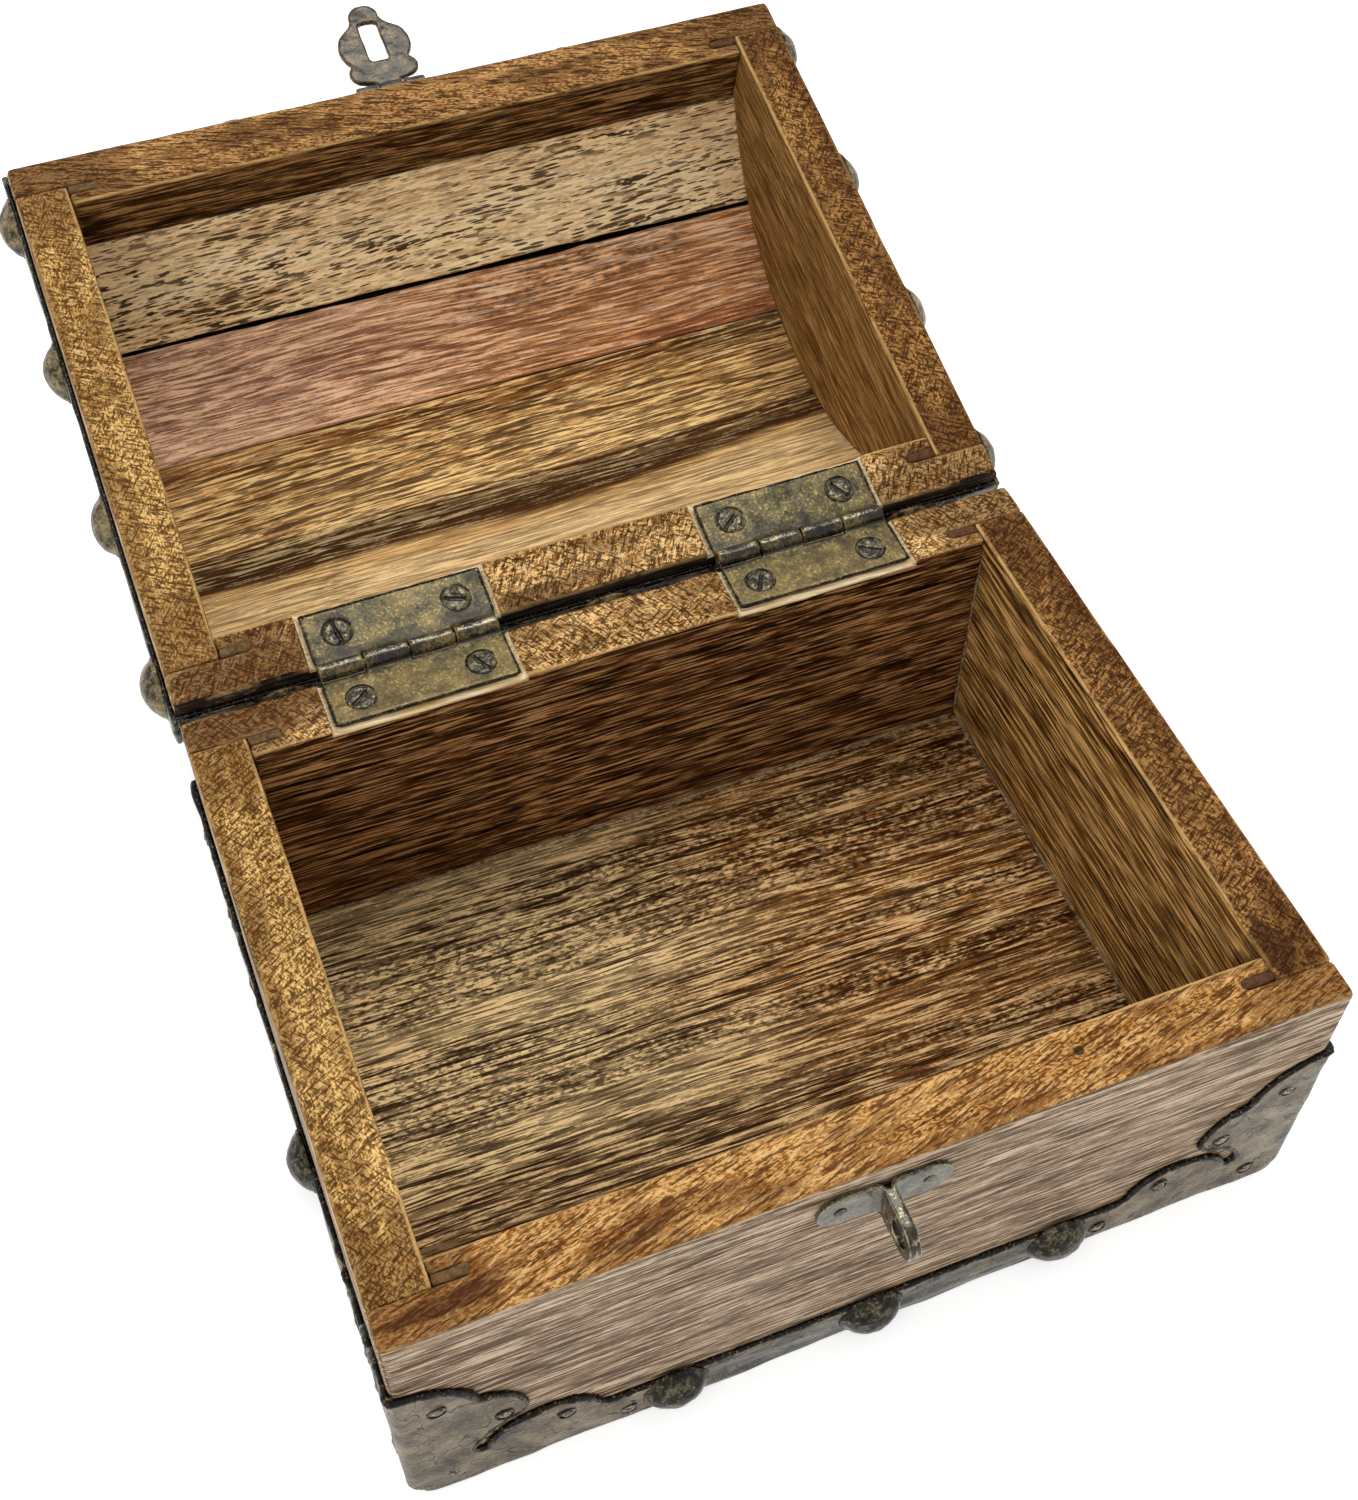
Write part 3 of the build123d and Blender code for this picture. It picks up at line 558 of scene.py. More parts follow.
def pink_to_orange(wood, place, bands):
    """Second plank: pinkish at its left, orange at its right, with a grey mottled stripe."""
    x, y, _ = place
    rightward = wood.fade(x + wood.wide(bands, 60), -60, 30)
    colour = wood.mix(rightward, (240, 192, 156), (212, 150, 94))
    low = wood.fade(y + wood.wide(bands, 6), -18, -13) * wood.fade(x, -10, 55)
    colour = wood.mix(low * 0.8, colour, (182, 102, 48))
    mottle = wood.strokes(wood.grain, 1.6, 0.8, 0.48, 0.08)
    stripe = wood.fade(abs(y + 28.0 + wood.wide(bands, 8)), 5.0, 1.5) * wood.fade(abs(x - 25.0), 36, 18)
    return wood.mix(mottle * stripe * 0.85, colour, (100, 84, 62))


def heartwood(wood, place, bands):
    """Last three planks, cut from one board: a dark stripe runs along it between pale sides."""
    x, y, _ = place
    lean = wood.fade(x, 10, 70) * 4.0
    across = y + lean + wood.wide(bands, 7.0) + wood.wide(wood.noise(wood.flow, (60, 4, 4), 3.0), 4.0)
    sides = wood.ramp(
        across / 60.0 + 0.25,
        (0.03, (200, 146, 82)), (0.1, (160, 108, 58)), (0.17, (212, 162, 96)),
        (0.36, (242, 196, 126)), (0.42, (240, 194, 128)), (0.44, (56, 38, 20)),
        (0.475, (98, 62, 28)), (0.505, (54, 32, 12)), (0.54, (94, 60, 28)),
        (0.565, (226, 180, 116)), (0.66, (250, 212, 152)), (0.95, (228, 182, 122)),
    )
    stain = wood.fade(x, 30, 62) * wood.fade(abs(y + 10.0 + wood.wide(bands, 9.0)), 3.6, 1.2)
    return wood.mix(stain * 0.7, sides, (82, 72, 44))


def plank(number, tones, line_tone, **ways):
    """Wood of one roof plank."""
    woods[f"roof_plank_{number}"] = board_wood(
        f"plank_{number}_wood", LID, 10 + number, tones, line_tone, outside=dome_outside, **ways,
    )


plank(
    1, ((170, 122, 72), (252, 218, 164), (255, 240, 200)), (50, 24, 6), skew=-3, pores=0.9, dash=5,
    streak=0.3, lines=0.95, smudge=0.12, seam=0.3, wave=3.0, fine=0.4, grit=0.35, thin=0.3,
)
plank(
    2, ((132, 84, 56), (188, 142, 116), (246, 204, 166)), (86, 46, 26), pores=0.3, dash=12, fine=0.75,
    lines=0.62, smudge=0.1, seam=0.5, streak=0.35, patchy=0.9, middle=pink_to_orange,
)
plank(
    3, ((104, 58, 18), (192, 146, 86), (255, 222, 156)), (54, 24, 6), skew=-2, pores=0.6, dash=16,
    pull=0.6, lines=0.85, seam=0.8, middle=heartwood, smudge=0.1,
)
plank(
    4, ((78, 46, 18), (206, 164, 106), (255, 228, 168)), (50, 24, 8), skew=-1, pores=0.3, dash=22,
    fine=0.7, pull=0.42, lines=0.6, seam=0.9, middle=heartwood, smudge=0.1,
)
plank(
    5, ((126, 84, 42), (226, 190, 136), (255, 234, 184)), (84, 48, 20), pores=0.3, dash=16, fine=0.9,
    pull=0.5, lines=0.72, smudge=0.24, seam=0.9, patchy=1.4, middle=heartwood,
)


def paste(name, dark, pale, right_dark, right_pale):
    """Crumbly paste or dried glue, whose tone drifts from the left of the chest to its right."""
    made = Finish(name)
    spot = made.node("TexCoord").other("Object") * 1000.0
    grit = made.noise(spot, (0.8,) * 3, 4.0, 0.7)
    bump = made.node("Bump", None, Strength=0.5, Distance=0.0002, Height=grit)
    colour = made.ramp(grit, (0.35, dark), (0.62, pale))
    other = made.ramp(grit, (0.35, right_dark), (0.62, right_pale))
    colour = made.mix(made.fade(made.parts(spot)[0], -30, 30), colour, other)
    return made.surface(Base_Color=colour, Roughness=0.7, Specular_IOR_Level=0.2, Normal=bump)


filler = paste("filler_paste", (66, 48, 26), (116, 88, 50), (56, 30, 14), (98, 62, 34))
glue = paste("dried_glue", (88, 64, 38), (170, 146, 110), (88, 66, 42), (176, 152, 118))


# ---- Metal ----
def metal(
    name, tones, dust_and_glints, dust_and_glint_amount, roughness, coat, metallic=0.5, cloud_size=3.0, patchy=1.0,
    depth=0.0002, grit=1.6, specular=0.3, edge=0.5, creases=0.0, barrel=False, tongue=False,
):
    """Lacquered metal: cloudy patina, fine specks of another tone, dark hollows and bright edges.

    The specks are grains of dirt, and on the lacquer painted glints. The bright edges are worn
    metal, and on the nails and the staple also a painted highlight along their rims. barrel paints
    shade on the lid's leaf round the hinges' pins, makes the chest's leaf a little yellower, and
    paints a highlight along the top of the knuckles; tongue streaks what stands out in front.
    """
    made = Finish(name)
    at = made.node("TexCoord").other("Object") * 1000.0
    cloud = made.noise(at, (cloud_size,) * 3, 4.0, 0.6)
    speck = made.noise(at, (0.5,) * 3, 2.0, 0.6)
    swing = (cloud - 0.5) * patchy * 1.6 + (speck - 0.5) * grit + 0.5
    colour = made.ramp(swing, (0.1, tones[0]), (0.5, tones[1]), (0.9, tones[2]))
    # Fine specks of another tone: grains of dirt, and on the lacquer painted glints
    dust_and_glint_specks = made.fade(speck, 0.57, 0.64) * made.fade(cloud, 0.38, 0.6) * dust_and_glint_amount
    colour = made.mix(dust_and_glint_specks, colour, dust_and_glints)
    rough = (speck - 0.5) * 0.3 + roughness
    if barrel:
        _, y, z = made.parts(at)
        from_pin = made.reach(y - hinge_y, z - hinge_z)
        # Painted shade on the lid's leaf near the pin, and the chest's leaf a little yellower away from
        # it
        shade = made.fade(from_pin + (cloud - 0.5) * 6.0, 5.0, 2.2) * 0.5
        colour = made.mix(shade * made.fade(y - hinge_y, -1.5, 1.5), colour, tones[0])
        colour = made.mix(made.fade(hinge_y - y, 2.0, 5.0) * 0.2, colour, (140, 116, 68))
        rolled = made.fade(from_pin, 2.1, 1.75)
        knuckle_and_highlight = made.ramp(swing, (0.2, (10, 8, 3)), (0.5, (42, 34, 15)), (0.9, (108, 90, 46)))
        # A painted highlight along the top of the knuckles, mixed into their tone
        painted_highlight = made.fade(z - hinge_z, 1.5, 1.66) * made.fade(cloud + speck, 0.94, 1.1) * 0.75
        knuckle_and_highlight = made.mix(painted_highlight, knuckle_and_highlight, (232, 222, 186))
        colour = made.mix(rolled * 0.95, colour, knuckle_and_highlight)
        rough = rough - rolled * 0.2
        metallic = metallic - rolled * metallic * 0.6
        coat = rolled * 0.15 + coat
    if tongue:
        forward = made.fade(made.parts(at)[1] * -1, half_depth + 1.4, half_depth + 2.6)
        streaks = made.noise(at, (0.8, 0.8, 5.0), 3.0, 0.6)
        bar = made.ramp(streaks, (0.42, (22, 19, 11)), (0.54, (56, 49, 30)), (0.66, (168, 156, 120)))
        colour = made.mix(forward * 0.85, colour, bar)
    wear = made.wear()
    colour = made.mix(made.fade(wear, -0.005, -0.04) * 0.9, colour, tones[0])
    # Paler edges: worn metal, and on the nails and the staple also a painted highlight along their rims
    colour = made.mix(made.fade(wear, 0.05, 0.13) * made.fade(cloud, 0.38, 0.55) * edge, colour, dust_and_glints)
    height = cloud * 0.75 + speck * 0.25
    if creases:
        bend = made.noise(at, (5, 5, 5), 1.0, 0.5, 0.6)
        crease = made.fade(abs(bend - 0.5), 0.016, 0.004) * made.fade(cloud, 0.42, 0.56)
        colour = made.mix(crease * creases, colour, tones[0])
        height = height - crease
    bump = made.node("Bump", None, Strength=0.6, Distance=depth, Height=height)
    return made.surface(
        Base_Color=colour, Metallic=metallic, Roughness=rough, Specular_IOR_Level=specular,
        Coat_Weight=coat, Coat_Roughness=0.1, Normal=bump,
    )


hinge_brass = metal(
    "hinge_bronze", ((28, 26, 18), (78, 70, 42), (108, 92, 54)), (206, 176, 108), dust_and_glint_amount=0.32,
    metallic=0.6, roughness=0.42, coat=0.1, cloud_size=4.0, patchy=1.3, grit=1.1, edge=0.2, barrel=True,
)
pin_steel = metal(
    "barrel_bronze", ((14, 12, 7), (44, 38, 22), (110, 98, 64)), (214, 198, 150), dust_and_glint_amount=0.4,
    roughness=0.24, coat=0.5, cloud_size=1.5,
)
screw_steel = metal(
    "screw_steel", ((14, 12, 7), (52, 45, 28), (104, 92, 62)), (196, 184, 144), dust_and_glint_amount=0.25,
    roughness=0.3, coat=0.2, cloud_size=1.4, patchy=1.4, edge=0.3,
)
strap_iron = metal(
    "strap_iron", ((18, 16, 10), (56, 51, 36), (104, 96, 72)), (150, 136, 100), dust_and_glint_amount=0.25,
    metallic=0.3, roughness=0.32, coat=0.12, patchy=1.2, depth=0.0007, grit=1.0, edge=0.7, creases=0.8,
)
bracket_iron = metal(
    "bracket_iron", ((34, 28, 19), (104, 91, 69), (138, 124, 98)), (194, 176, 142), dust_and_glint_amount=0.2,
    metallic=0.4, roughness=0.38, coat=0.08, cloud_size=5.0, patchy=1.3, depth=0.0012, grit=0.9,
    specular=0.12, creases=0.9,
)
tack_iron = metal(
    "tack_iron", ((20, 17, 11), (72, 63, 45), (138, 124, 96)), (190, 176, 140), dust_and_glint_amount=0.4,
    roughness=0.26, coat=0.3, cloud_size=1.0, patchy=1.4,
)
nail_iron = metal(
    "nail_iron", ((6, 5, 3), (34, 30, 19), (92, 84, 62)), (162, 150, 114), dust_and_glint_amount=0.36, metallic=0.1,
    roughness=0.25, coat=0.25, cloud_size=1.6, patchy=1.8, depth=0.0004, grit=1.0, specular=0.05,
    edge=1.0,
)
# Nails of the lid: paler and rustier than the chest's nails; their paleness is partly rust and partly
# painted light from the left
lid_nail_iron_rust_and_light = metal(
    "lid_nail_iron_rust_and_light", ((36, 31, 20), (96, 85, 61), (144, 129, 96)), (154, 112, 70), dust_and_glint_amount=0.3,
    metallic=0.25, roughness=0.36, coat=0.08, cloud_size=2.2, patchy=1.8, depth=0.0003, grit=1.3,
    specular=0.1,
)
staple_iron = metal(
    "staple_iron", ((24, 21, 14), (76, 72, 54), (110, 102, 76)), (186, 178, 146), dust_and_glint_amount=0.2,
    roughness=0.28, coat=0.3, edge=0.6, tongue=True,
)
hasp_iron = metal(
    "hasp_iron", ((18, 16, 10), (56, 50, 34), (92, 82, 58)), (132, 82, 44), dust_and_glint_amount=0.5, metallic=0.4,
    roughness=0.32, coat=0.2, cloud_size=3.2, patchy=1.2, edge=0.3,
)
# Black lacquer: its pale specks are painted glints
lacquer = metal(
    "thick_lacquer", ((3, 2, 1), (9, 6, 3), (26, 17, 8)), (176, 150, 104), dust_and_glint_amount=0.45, metallic=0.0,
    roughness=0.3, coat=0.25, cloud_size=0.8, depth=0.0005, specular=0.05, edge=0.0,
)


# ---- Meshes ----
def lattice(points, seed):
    """Random values from 0 to 1 at whole-number points."""
    x, y, z = points.astype(np.int64).T
    mixed = (x * 374761393 + y * 668265263 + z * 1442695041 + seed * 974711) & 0xFFFFFFFF
    mixed = ((mixed ^ (mixed >> 13)) * 1274126177) & 0xFFFFFFFF
    return ((mixed ^ (mixed >> 16)) & 0xFFFF) / 65535


def soft_step(value, start, stop):
    """Smooth step from 0 at start to 1 at stop."""
    part = np.clip((value - start) / (stop - start), 0, 1)
    return part * part * (3 - 2 * part)


def lumps(points, size, seed, octaves=2, off_centre=91.7):
    """Smooth random values from about -1 to 1, with lumps of the given size in millimetres."""
    total = np.zeros(len(points))
    for octave in range(octaves):
        scaled = points / np.array(size, float) * 2**octave + off_centre
        whole = np.floor(scaled)
        part = soft_step(scaled - whole, 0, 1)
        for corner in product((0, 1), repeat=3):
            weight = np.prod(np.where(corner, part, 1 - part), axis=1)
            total += weight * (lattice(whole + corner, seed + octave) * 2 - 1) / 2**octave
    return total


def frame_mesh(node, body_frame):
    """A CAD node's mesh, in a body's own millimetres."""
    copied = bmesh.new()
    copied.from_mesh(frame["nodes"][node].data)
    bmesh.ops.remove_doubles(copied, verts=copied.verts, dist=1e-6)
    bmesh.ops.transform(copied, matrix=body_frame.inverted(), verts=copied.verts)
    return copied


def evened(copied, voxel):
    """The same solid with an even skin of small faces."""
    mesh = bpy.data.meshes.new("rough")
    copied.to_mesh(mesh)
    copied.free()
    holder = add_object("rough", mesh)
    remesh = holder.modifiers.new("even", "REMESH")
    remesh.mode = "VOXEL"
    remesh.voxel_size = voxel
    shown = holder.evaluated_get(bpy.context.evaluated_depsgraph_get())
    skin = bpy.data.meshes.new_from_object(shown)
    bpy.data.objects.remove(holder)
    bpy.data.meshes.remove(mesh)
    return skin


def read(collection, key, width):
    values = np.zeros(len(collection) * width)
    collection.foreach_get(key, values)
    return values.reshape(-1, width)


def edge_wear(mesh, points, normals):
    """How far each point stands out from its neighbours: above 0 on edges, below in hollows."""
    pairs = read(mesh.edges, "vertices", 2).astype(int)
    here, there = np.concatenate([pairs, pairs[:, ::-1]]).T
    neighbours = np.maximum(np.bincount(here, minlength=len(points)), 1)

    def mean(values):
        return np.bincount(here, values[there], len(points)) / neighbours

    around = np.stack([mean(column) for column in points.T], 1)
    value = np.einsum("ij,ij->i", points - around, normals)
    for _ in range(2):
        value = (value + mean(value)) / 2
    return value


def add_piece(name, mesh, body, finish, nodes=(), wear=None):
    """Puts a finished mesh in the scene, on its body and in place of its CAD nodes."""
    if wear is not None:
        mesh.attributes.new("wear", "FLOAT", "POINT").data.foreach_set("value", wear)
    mesh.transform(BODY_FRAMES[body])
    mesh.materials.append(finish)
    mesh.shade_smooth()
    made = add_object(name, mesh)
    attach(made, body)
    if nodes:
        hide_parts(*nodes)
    return made


def turn_screws(copied, angles):
    """Turns each screw of a row about its own upright axis, from left to right."""
    for x, angle in zip(screw_places, angles):
        screw = [corner for corner in copied.verts if abs(corner.co.x - x) < screw_reach]
        turn = Matrix.Rotation(radians(angle), 3, "Z")
        bmesh.ops.rotate(copied, cent=(x, screw_y, 0), matrix=turn, verts=screw)


def worked(name, node, body, voxel, shape, finish, turns=()):
    """A CAD node as it comes from the bench: even skin, then moved by `shape` in millimetres."""
    copied = frame_mesh(node, BODY_FRAMES[body])
    turn_screws(copied, turns)
    mesh = evened(copied, voxel)
    points = read(mesh.vertices, "co", 3)
    normals = read(mesh.vertex_normals, "vector", 3)
    wear = edge_wear(mesh, points, normals) / voxel
    points += shape(points, normals, wear)
    if body == "chest":
        points[:, 2] = np.maximum(points[:, 2], 0)
    mesh.vertices.foreach_set("co", points.ravel())
    mesh.update()
    return add_piece(name, mesh, body, finish, [node], wear)


# ---- How each kind of piece is worn ----
def along(direction, amount):
    """Directions scaled by an amount at each point."""
    return direction * amount[:, None]


def proud(points):
    """How far points stand off the wood's outer faces, in millimetres."""
    off = np.maximum(np.abs(points[:, 0]) - half_width, np.abs(points[:, 1]) - half_depth)
    return np.clip(off, 0, None)


def board_shape(seed):
    """Sanded board: eased edges with small chips, and faces not quite flat."""

    def shape(points, normals, wear):
        chips = np.clip(lumps(points, (9, 9, 2), seed, 3), 0, 1)
        eased = np.clip(wear, 0, 1) * (0.4 + 0.9 * chips)
        return along(normals, lumps(points, (45, 28, 28), seed + 7) * 0.08 - eased)

    return shape


plank_joints = (-39.0, -13.5, 13.0, 38.5)
# Least and most opening of each joint between planks, on the inside of the lid
plank_gaps = ((0.6, 0.9), (0.1, 0.2), (0.0, 0.0), (0.0, 0.1))


def plank_shape(number):
    """Sanded plank whose inner corners draw back from its neighbours in a wavy line."""
    sanded = board_shape(20 + number)

    def shape(points, normals, wear):
        move = sanded(points, normals, wear)
        rise = points[:, 2] - inner_centre
        reach = np.hypot(points[:, 1], rise)
        angle = np.degrees(np.arctan2(points[:, 1], rise))
        tangent = np.stack([np.zeros(len(reach)), rise / reach, -points[:, 1] / reach], 1)
        shallow = 1 - soft_step(reach - inner_circle, 1.5, 5.5)
        for joint, (least, most) in enumerate(plank_gaps):
            if joint not in (number - 2, number - 1):
                continue
            away = np.radians(angle - plank_joints[joint]) * reach
            near = 1 - soft_step(np.abs(away), 0.4, 2.2)
            hand = -1 if joint == number - 1 else 1
            line = points * (1, 0, 0)
            opening = least + most * np.abs(lumps(line, (16, 1, 1), 60 + joint, 3))
            move += along(tangent, hand * opening * near * shallow / 2)
        return move

    return shape


def sheet_shape(seed, size, dent, wave):
    """Hammered sheet on the wood: dents in its face and wavy long edges."""

    def shape(points, normals, wear):
        off = np.clip(proud(points), 0, 1)
        move = along(normals, lumps(points, size, seed) * dent * off)
        edge = soft_step(np.abs(normals[:, 2]), 0.3, 0.8) * (wear < 0.5)
        line = points * (1, 1, 0)
        move[:, 2] += edge * lumps(line, (9, 9, 9), seed + 3) * wave
        return move

    return shape


def nail_shape(seed):
    """Forged dome: lumpy crown and a thin lip round its foot."""

    def shape(points, normals, wear):
        off = proud(points)
        crown = np.clip(off - 1.0, 0, 1)
        bumps = lumps(points, (3.0,) * 3, seed) * 0.15 + lumps(points, (0.9,) * 3, seed + 5) * 0.05
        lip = soft_step(off, 0.8, 1.05) * (1 - soft_step(off, 1.1, 1.5)) * 0.3
        return along(normals, bumps * crown + lip)

    return shape


def small_shape(seed, size=1.0, dent=0.05, slim=0.0):
    """Small turned or bent part: rounded edges, fine dents, and a pin a little slim in its bore."""

    def shape(points, normals, wear):
        eased = np.clip(wear, 0, 1) * 0.5 + slim
        return along(normals, lumps(points, (size,) * 3, seed) * dent - eased)

    return shape


# Boards: body, slot, size of the skin's faces, and nodes
seeds = count(1)
for body, slot, voxel, nodes in (
    ("chest", "board_wood", 0.5, "front_board back_board"),
    ("chest", "end_wood", 0.5, "left_board right_board"),
    ("chest", "floor_wood", 0.66, "floor_board"),
    ("lid", "board_wood", 0.5, "lid_rail_front lid_rail_back"),
    ("lid", "end_wood", 0.5, "lid_end_left lid_end_right"),
):
    for node in nodes.split():
        worked(node + "_sanded", node, body, voxel, board_shape(next(seeds)), woods[node])
for number in range(1, 6):
    node = f"roof_plank_{number}"
    worked(node + "_sanded", node, "lid", 0.5, plank_shape(number), woods[node])
halves = (("body", "chest"), ("lid", "lid"))
crumbly = small_shape(31, size=1.6, dent=0.12)
for part, body in halves:
    worked(f"{part}_corner_paste", f"{part}_corner_fillers", body, 0.4, crumbly, filler)

# Straps and brackets: first seed, sides, body, lump size, dent, waviness and metal of each kind
all_corners = "front_left front_right back_left back_right"
lid_sides = "front_left front_right back left right"
for kind, seed, sides, body, size, dent, wave, finish in (
    ("body_strap", 40, "front back left right", "chest", (9, 9, 2.4), 0.22, 0.3, strap_iron),
    ("lid_strap", 50, lid_sides, "lid", (9, 9, 2.4), 0.2, 0.3, strap_iron),
    ("bracket", 60, all_corners, "chest", (5, 5, 4), 0.14, 0.1, bracket_iron),
):
    for number, side in enumerate(sides.split()):
        node = f"{kind}_{side}"
        hammered = sheet_shape(seed + number, size, dent, wave)
        worked(node + "_hammered", node, body, 0.3, hammered, finish)

# Nails, tacks and screws
for (part, body), seed, finish in zip(halves, (71, 72), (nail_iron, lid_nail_iron_rust_and_light)):
    forged = nail_shape(seed)
    worked(f"{part}_nails_forged", f"{part}_strap_nails", body, 0.25, forged, finish)
for piece, node, body, voxel, seed, finish, slot in (
    ("bracket_tacks_driven", "bracket_tacks", "chest", 0.2, 73, tack_iron, "strap_iron"),
    ("staple_tacks_driven", "staple_tacks", "chest", 0.15, 74, staple_iron, "lock_iron"),
    ("hasp_tacks_driven", "hasp_leaf_tacks", "lid", 0.15, 75, hasp_iron, "lock_iron"),
):
    worked(piece, node, body, voxel, small_shape(seed, size=0.8, dent=0.1), finish)
for (part, body), seed, turns in zip(halves, (76, 77), ((35, 118, 62, 150), (80, 20, 140, 55))):
    piece, node = f"{part}_screws_driven", f"{part}_hinge_screws"
    cut = small_shape(seed, size=0.7, dent=0.09)
    worked(piece, node, body, 0.14, cut, screw_steel, turns)

# Hinges, hasp and staple
leaf, plate = small_shape(80, size=2.2), partial(small_shape, size=2.0, dent=0.08)
pin = partial(small_shape, dent=0.03, slim=0.1)
for side in ("left", "right"):
    for part, body in halves:
        node = f"hinge_leaf_{part}_{side}"
        worked(node + "_rolled", node, body, 0.2, leaf, hinge_brass)
    node = f"hinge_pin_{side}"
    worked(node + "_peened", node, "chest", 0.15, pin(84), pin_steel)
for piece, node, body, voxel, shape, finish in (
    ("staple_bent", "staple", "chest", 0.2, plate(85), staple_iron),
    ("hasp_leaf_bent", "hasp_leaf", "lid", 0.2, plate(86), hasp_iron),
    ("hasp_pin_peened", "hasp_pin", "lid", 0.15, pin(87), hasp_iron),
    ("hasp_plate_cut", "hasp_plate", "hasp", 0.2, plate(88), hasp_iron),
):
    worked(piece, node, body, voxel, shape, finish)


# ---- Lacquer and glue ----
def arc_points(start, middle, stop, count):
    """Points on the arc through three points of a plane, without the last one."""
    a, b, c = (complex(*spot) for spot in (start, middle, stop))
    ratio = (c - a) / (b - a)
    centre = a + (b - a) * (ratio - abs(ratio) ** 2) / (2j * ratio.imag)
    first = phase(a - centre)
    turn = (phase(c - centre) - first) % tau
    if (phase(b - centre) - first) % tau > turn:
        turn -= tau
    radius = abs(a - centre)
    spots = [centre + rect(radius, first + turn * i / count) for i in range(count)]
    return [(spot.real, spot.imag) for spot in spots]


def bead(name, paths, body, finish, slot, seed, radius, rough=0.35, least=0.25, sides=10):
    """Uneven beads along lines of points, closed at both ends.

    rough is how much a bead swells, and least the least that is left of its radius.
    """
    spacing = 0.35
    askew = (0.37, 0.61, 0.7)  # no bead runs this way
    corners, faces = [], []
    for path in paths:
        line = np.array(path, float)
        step = np.linalg.norm(np.diff(line, axis=0), axis=1)
        reach = np.concatenate([[0], np.cumsum(step)])
        at = np.linspace(0, reach[-1], max(int(reach[-1] / spacing), 4))
        line = np.stack([np.interp(at, reach, column) for column in line.T], 1)
        tangent = np.gradient(line, axis=0)
        tangent /= np.linalg.norm(tangent, axis=1)[:, None]
        aside = np.cross(tangent, askew)
        aside /= np.linalg.norm(aside, axis=1)[:, None]
        other = np.cross(tangent, aside)
        swell = 1 + rough * lumps(line, (2.2,) * 3, seed, 3)
        ends = np.minimum(at, at[-1] - at)
        swell = np.clip(swell, least, None) * soft_step(ends, -0.2, 1.2)
        first = len(corners)
        for i, middle in enumerate(line):
            ring = len(corners)
            for k in range(sides):
                turn = tau * k / sides
                out = aside[i] * cos(turn) + other[i] * sin(turn)
                corners.append(middle + out * radius * swell[i])
                if i:
                    a, b = ring + k, ring + (k + 1) % sides
                    faces.append((a - sides, b - sides, b, a))
        faces.append(tuple(range(first, first + sides))[::-1])
        faces.append(tuple(range(ring, ring + sides)))
    mesh = bpy.data.meshes.new(name)
    mesh.from_pydata([tuple(c) for c in corners], [], faces)
    tidy = bmesh.new()
    tidy.from_mesh(mesh)
    bmesh.ops.recalc_face_normals(tidy, faces=tidy.faces)
    tidy.to_mesh(mesh)
    tidy.free()
    return add_piece(name, mesh, body, finish)


# Scalloped edge of a bracket's arm: distance from the corner and height above the strap
scallops = [
    (1.0, 30.0), (8.2, 26.6), (11.8, 20.4), (16.0, 18.2), (18.4, 13.8), (18.6, 11.4), (16.6, 9.8),
    (12.6, 7.2), (10.0, 3.2), (10.1, 1.0), (12.2, 0.7), (15.0, 4.8), (19.8, 6.6), (26.0, 6.2),
    (30.0, 1.4), (31.2, 0.3), (32.8, 0.0),
]
arc_starts = range(0, len(scallops) - 2, 2)
scallop_line = [spot for i in arc_starts for spot in arc_points(*scallops[i : i + 3], 10)]
bracket_height = 30.0
long_arm_end = 44.0
end_arm_end = 35.5
sheet_middle = 0.45
sheet_corner = 0.3

for front, y_hand in (("front", -1), ("back", 1)):
    for side, x_hand in (("left", -1), ("right", 1)):
        long_arm = [
            (x_hand * (half_width - inward), y_hand * (half_depth + sheet_middle), strap_top + rise)
            for inward, rise in scallop_line + [(long_arm_end, 0.0)]
        ]
        end_arm = [
            (x_hand * (half_width + sheet_middle), y_hand * (half_depth - inward), strap_top + rise)
            for inward, rise in scallop_line + [(end_arm_end, 0.0)]
        ]
        x, y = x_hand * (half_width + sheet_corner), y_hand * (half_depth + sheet_corner)
        edge = end_arm[::-1] + [(x, y, strap_top + bracket_height)] + long_arm
        bead(f"bracket_{front}_{side}_lacquer", [edge], "chest", lacquer, "strap_iron", 90, radius=0.62)

# Broken rings of lacquer round the tacks: distance in from the corner, and height
arm_tacks = [(5.7, 31.4), (15.3, 21.0), (24.7, 11.8), (6.7, 4.8)]
front_tacks = arm_tacks + [(34.6, 3.8)]
ring_radius = 1.5
sheet_face = 1.05


def circle(radius, steps):
    """Offsets round a circle, closed."""
    turns = [tau * i / steps for i in range(steps + 1)]
    return [(radius * cos(turn), radius * sin(turn)) for turn in turns]


rings = []
for x_hand, y_hand in product((-1, 1), repeat=2):
    for inward, height in front_tacks:
        x = x_hand * (half_width - inward)
        y = y_hand * (half_depth + sheet_face)
        rings.append([(x + across, y, height + up) for across, up in circle(ring_radius, 16)])
    for inward, height in arm_tacks:
        x = x_hand * (half_width + sheet_face)
        y = y_hand * (half_depth - inward)
        rings.append([(x, y + across, height + up) for across, up in circle(ring_radius, 16)])
thin = {"radius": 0.13, "rough": 0.9, "least": 0.1, "sides": 6}
bead("bracket_tack_lacquer", rings, "chest", lacquer, "strap_iron", 98, **thin)


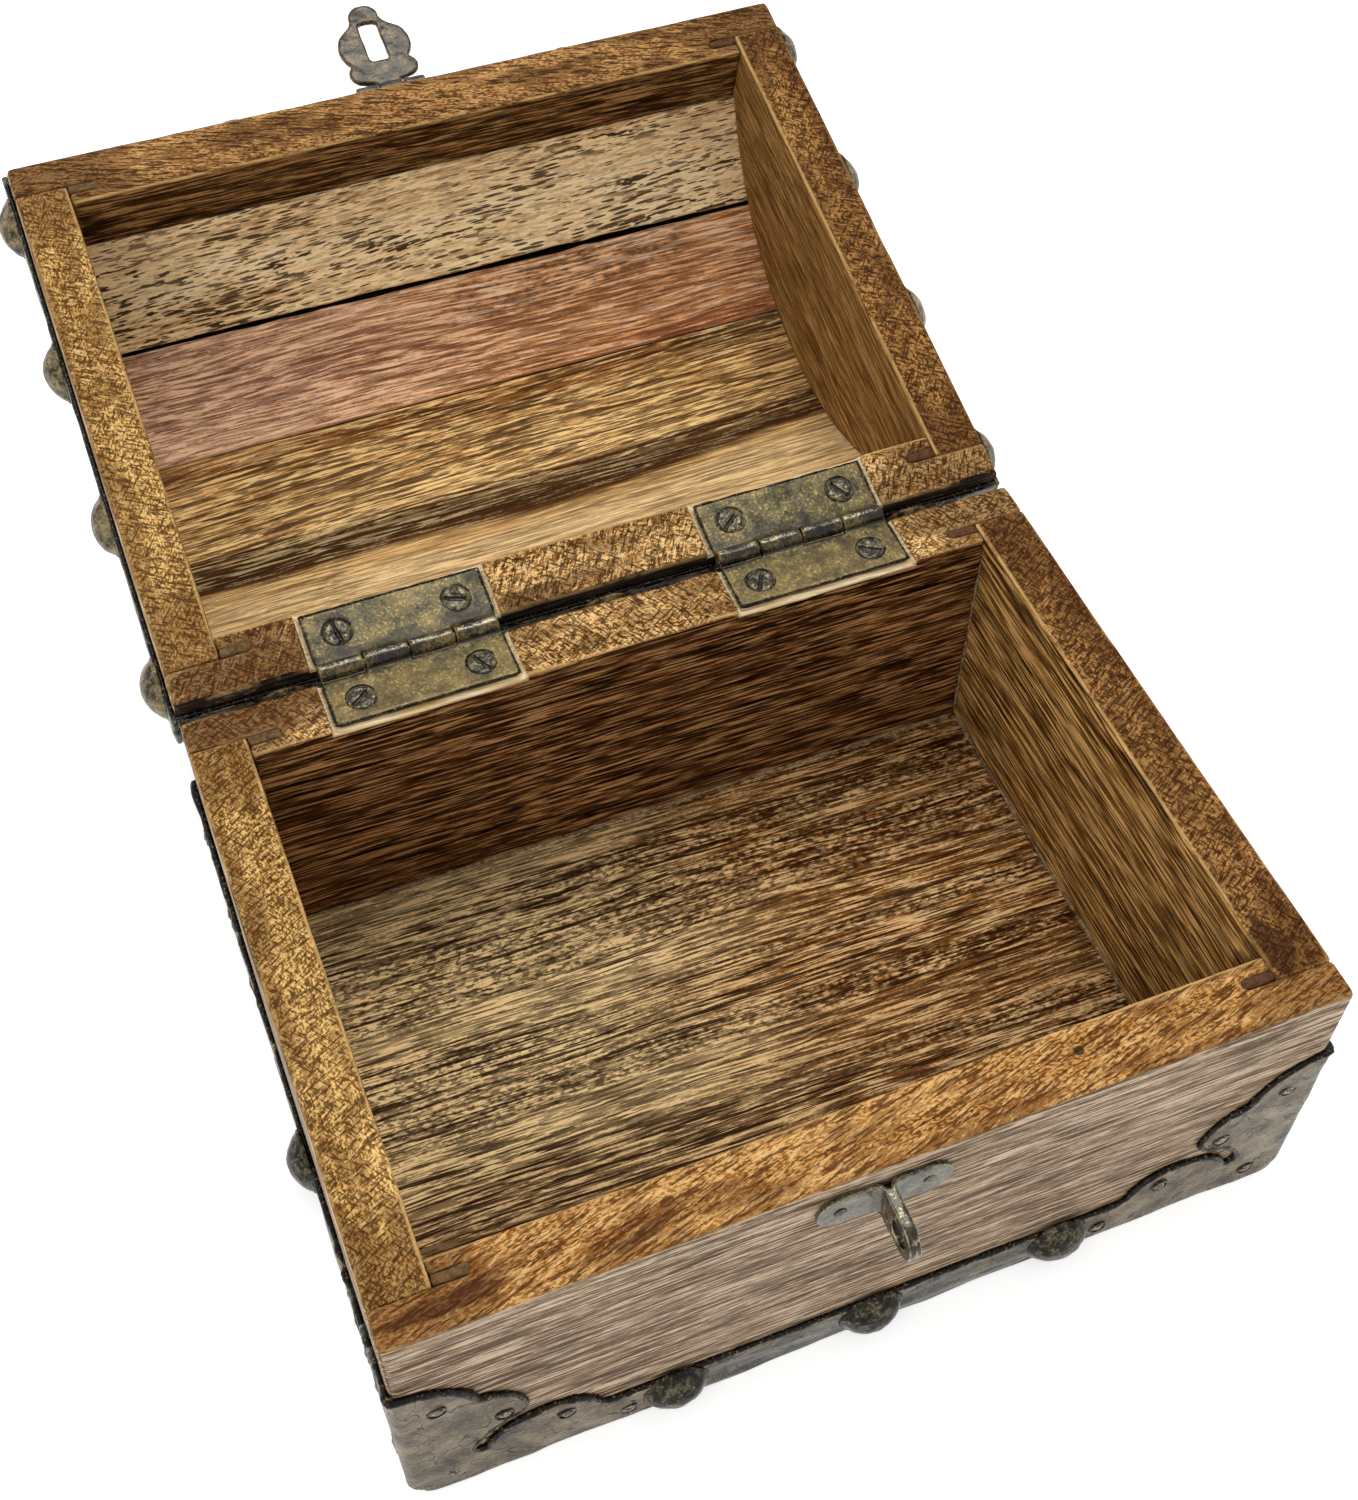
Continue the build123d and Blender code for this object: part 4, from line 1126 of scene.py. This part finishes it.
def straight_run(side, reach, off, height):
    """A line along one side of the chest, a little off its wood."""
    hand = 1 if side in ("back", "right") else -1
    if side in ("front", "back"):
        y = hand * (half_depth + off)
        return [(-reach, y, height), (reach, y, height)]
    x = hand * (half_width + off)
    return [(x, -reach, height), (x, reach, height)]


for side, reach in (("front", 31.0), ("back", 31.0), ("left", 21.0), ("right", 21.0)):
    run = straight_run(side, reach, 0.4, strap_top)
    bead(f"body_strap_{side}_lacquer", [run], "chest", lacquer, "strap_iron", 94, radius=0.5)
for side, reach in (("back", half_width), ("left", 57.0), ("right", 57.0)):
    run = straight_run(side, reach, 0.5, lid_strap_foot)
    bead(f"lid_strap_{side}_lacquer", [run], "lid", lacquer, "strap_iron", 95, radius=0.45)

# Dark lacquer left round the hinge leaves and the screws
leaf_ends = 20.12, 51.87
leaf_back, leaf_edge = 57.0, 47.35
screw_ring = 2.62
sunk = 0.12
for body, level in (("chest", wall_height - sunk), ("lid", sunk)):
    outlines = []
    for hand in (-1, 1):
        near, far = (hand * end for end in leaf_ends)
        corners = ((near, leaf_back), (near, leaf_edge), (far, leaf_edge), (far, leaf_back))
        outlines.append([(x, y, level) for x, y in corners])
    for x in screw_places:
        ring = circle(screw_ring, 24)
        outlines.append([(x + across, screw_y + up, level) for across, up in ring])
    bead(
        f"{body}_hinge_lacquer", outlines, body, lacquer, "hinge_brass", 96, radius=0.19, rough=0.6,
        least=0.4, sides=8,
    )

glue_x, glue_y = 66.1, 46.1
run_x, run_y = 66.0, 46.0
back_glue, front_glue = 50.0, 46.0
# Along the floor's back and ends, then up the four corners
glue_runs = [
    [(-run_x, run_y, floor_top), (run_x, run_y, floor_top)],
    [(glue_x, -run_y, floor_top), (glue_x, run_y, floor_top)],
    [(-glue_x, -run_y, floor_top), (-glue_x, run_y, floor_top)],
]
for y, top in ((glue_y, back_glue), (-glue_y, front_glue)):
    glue_runs += [[(x, y, floor_top), (x, y, top)] for x in (glue_x, -glue_x)]
bead("glue_line", glue_runs, "chest", glue, "filler", 97, radius=0.26, rough=0.9, least=0.1)
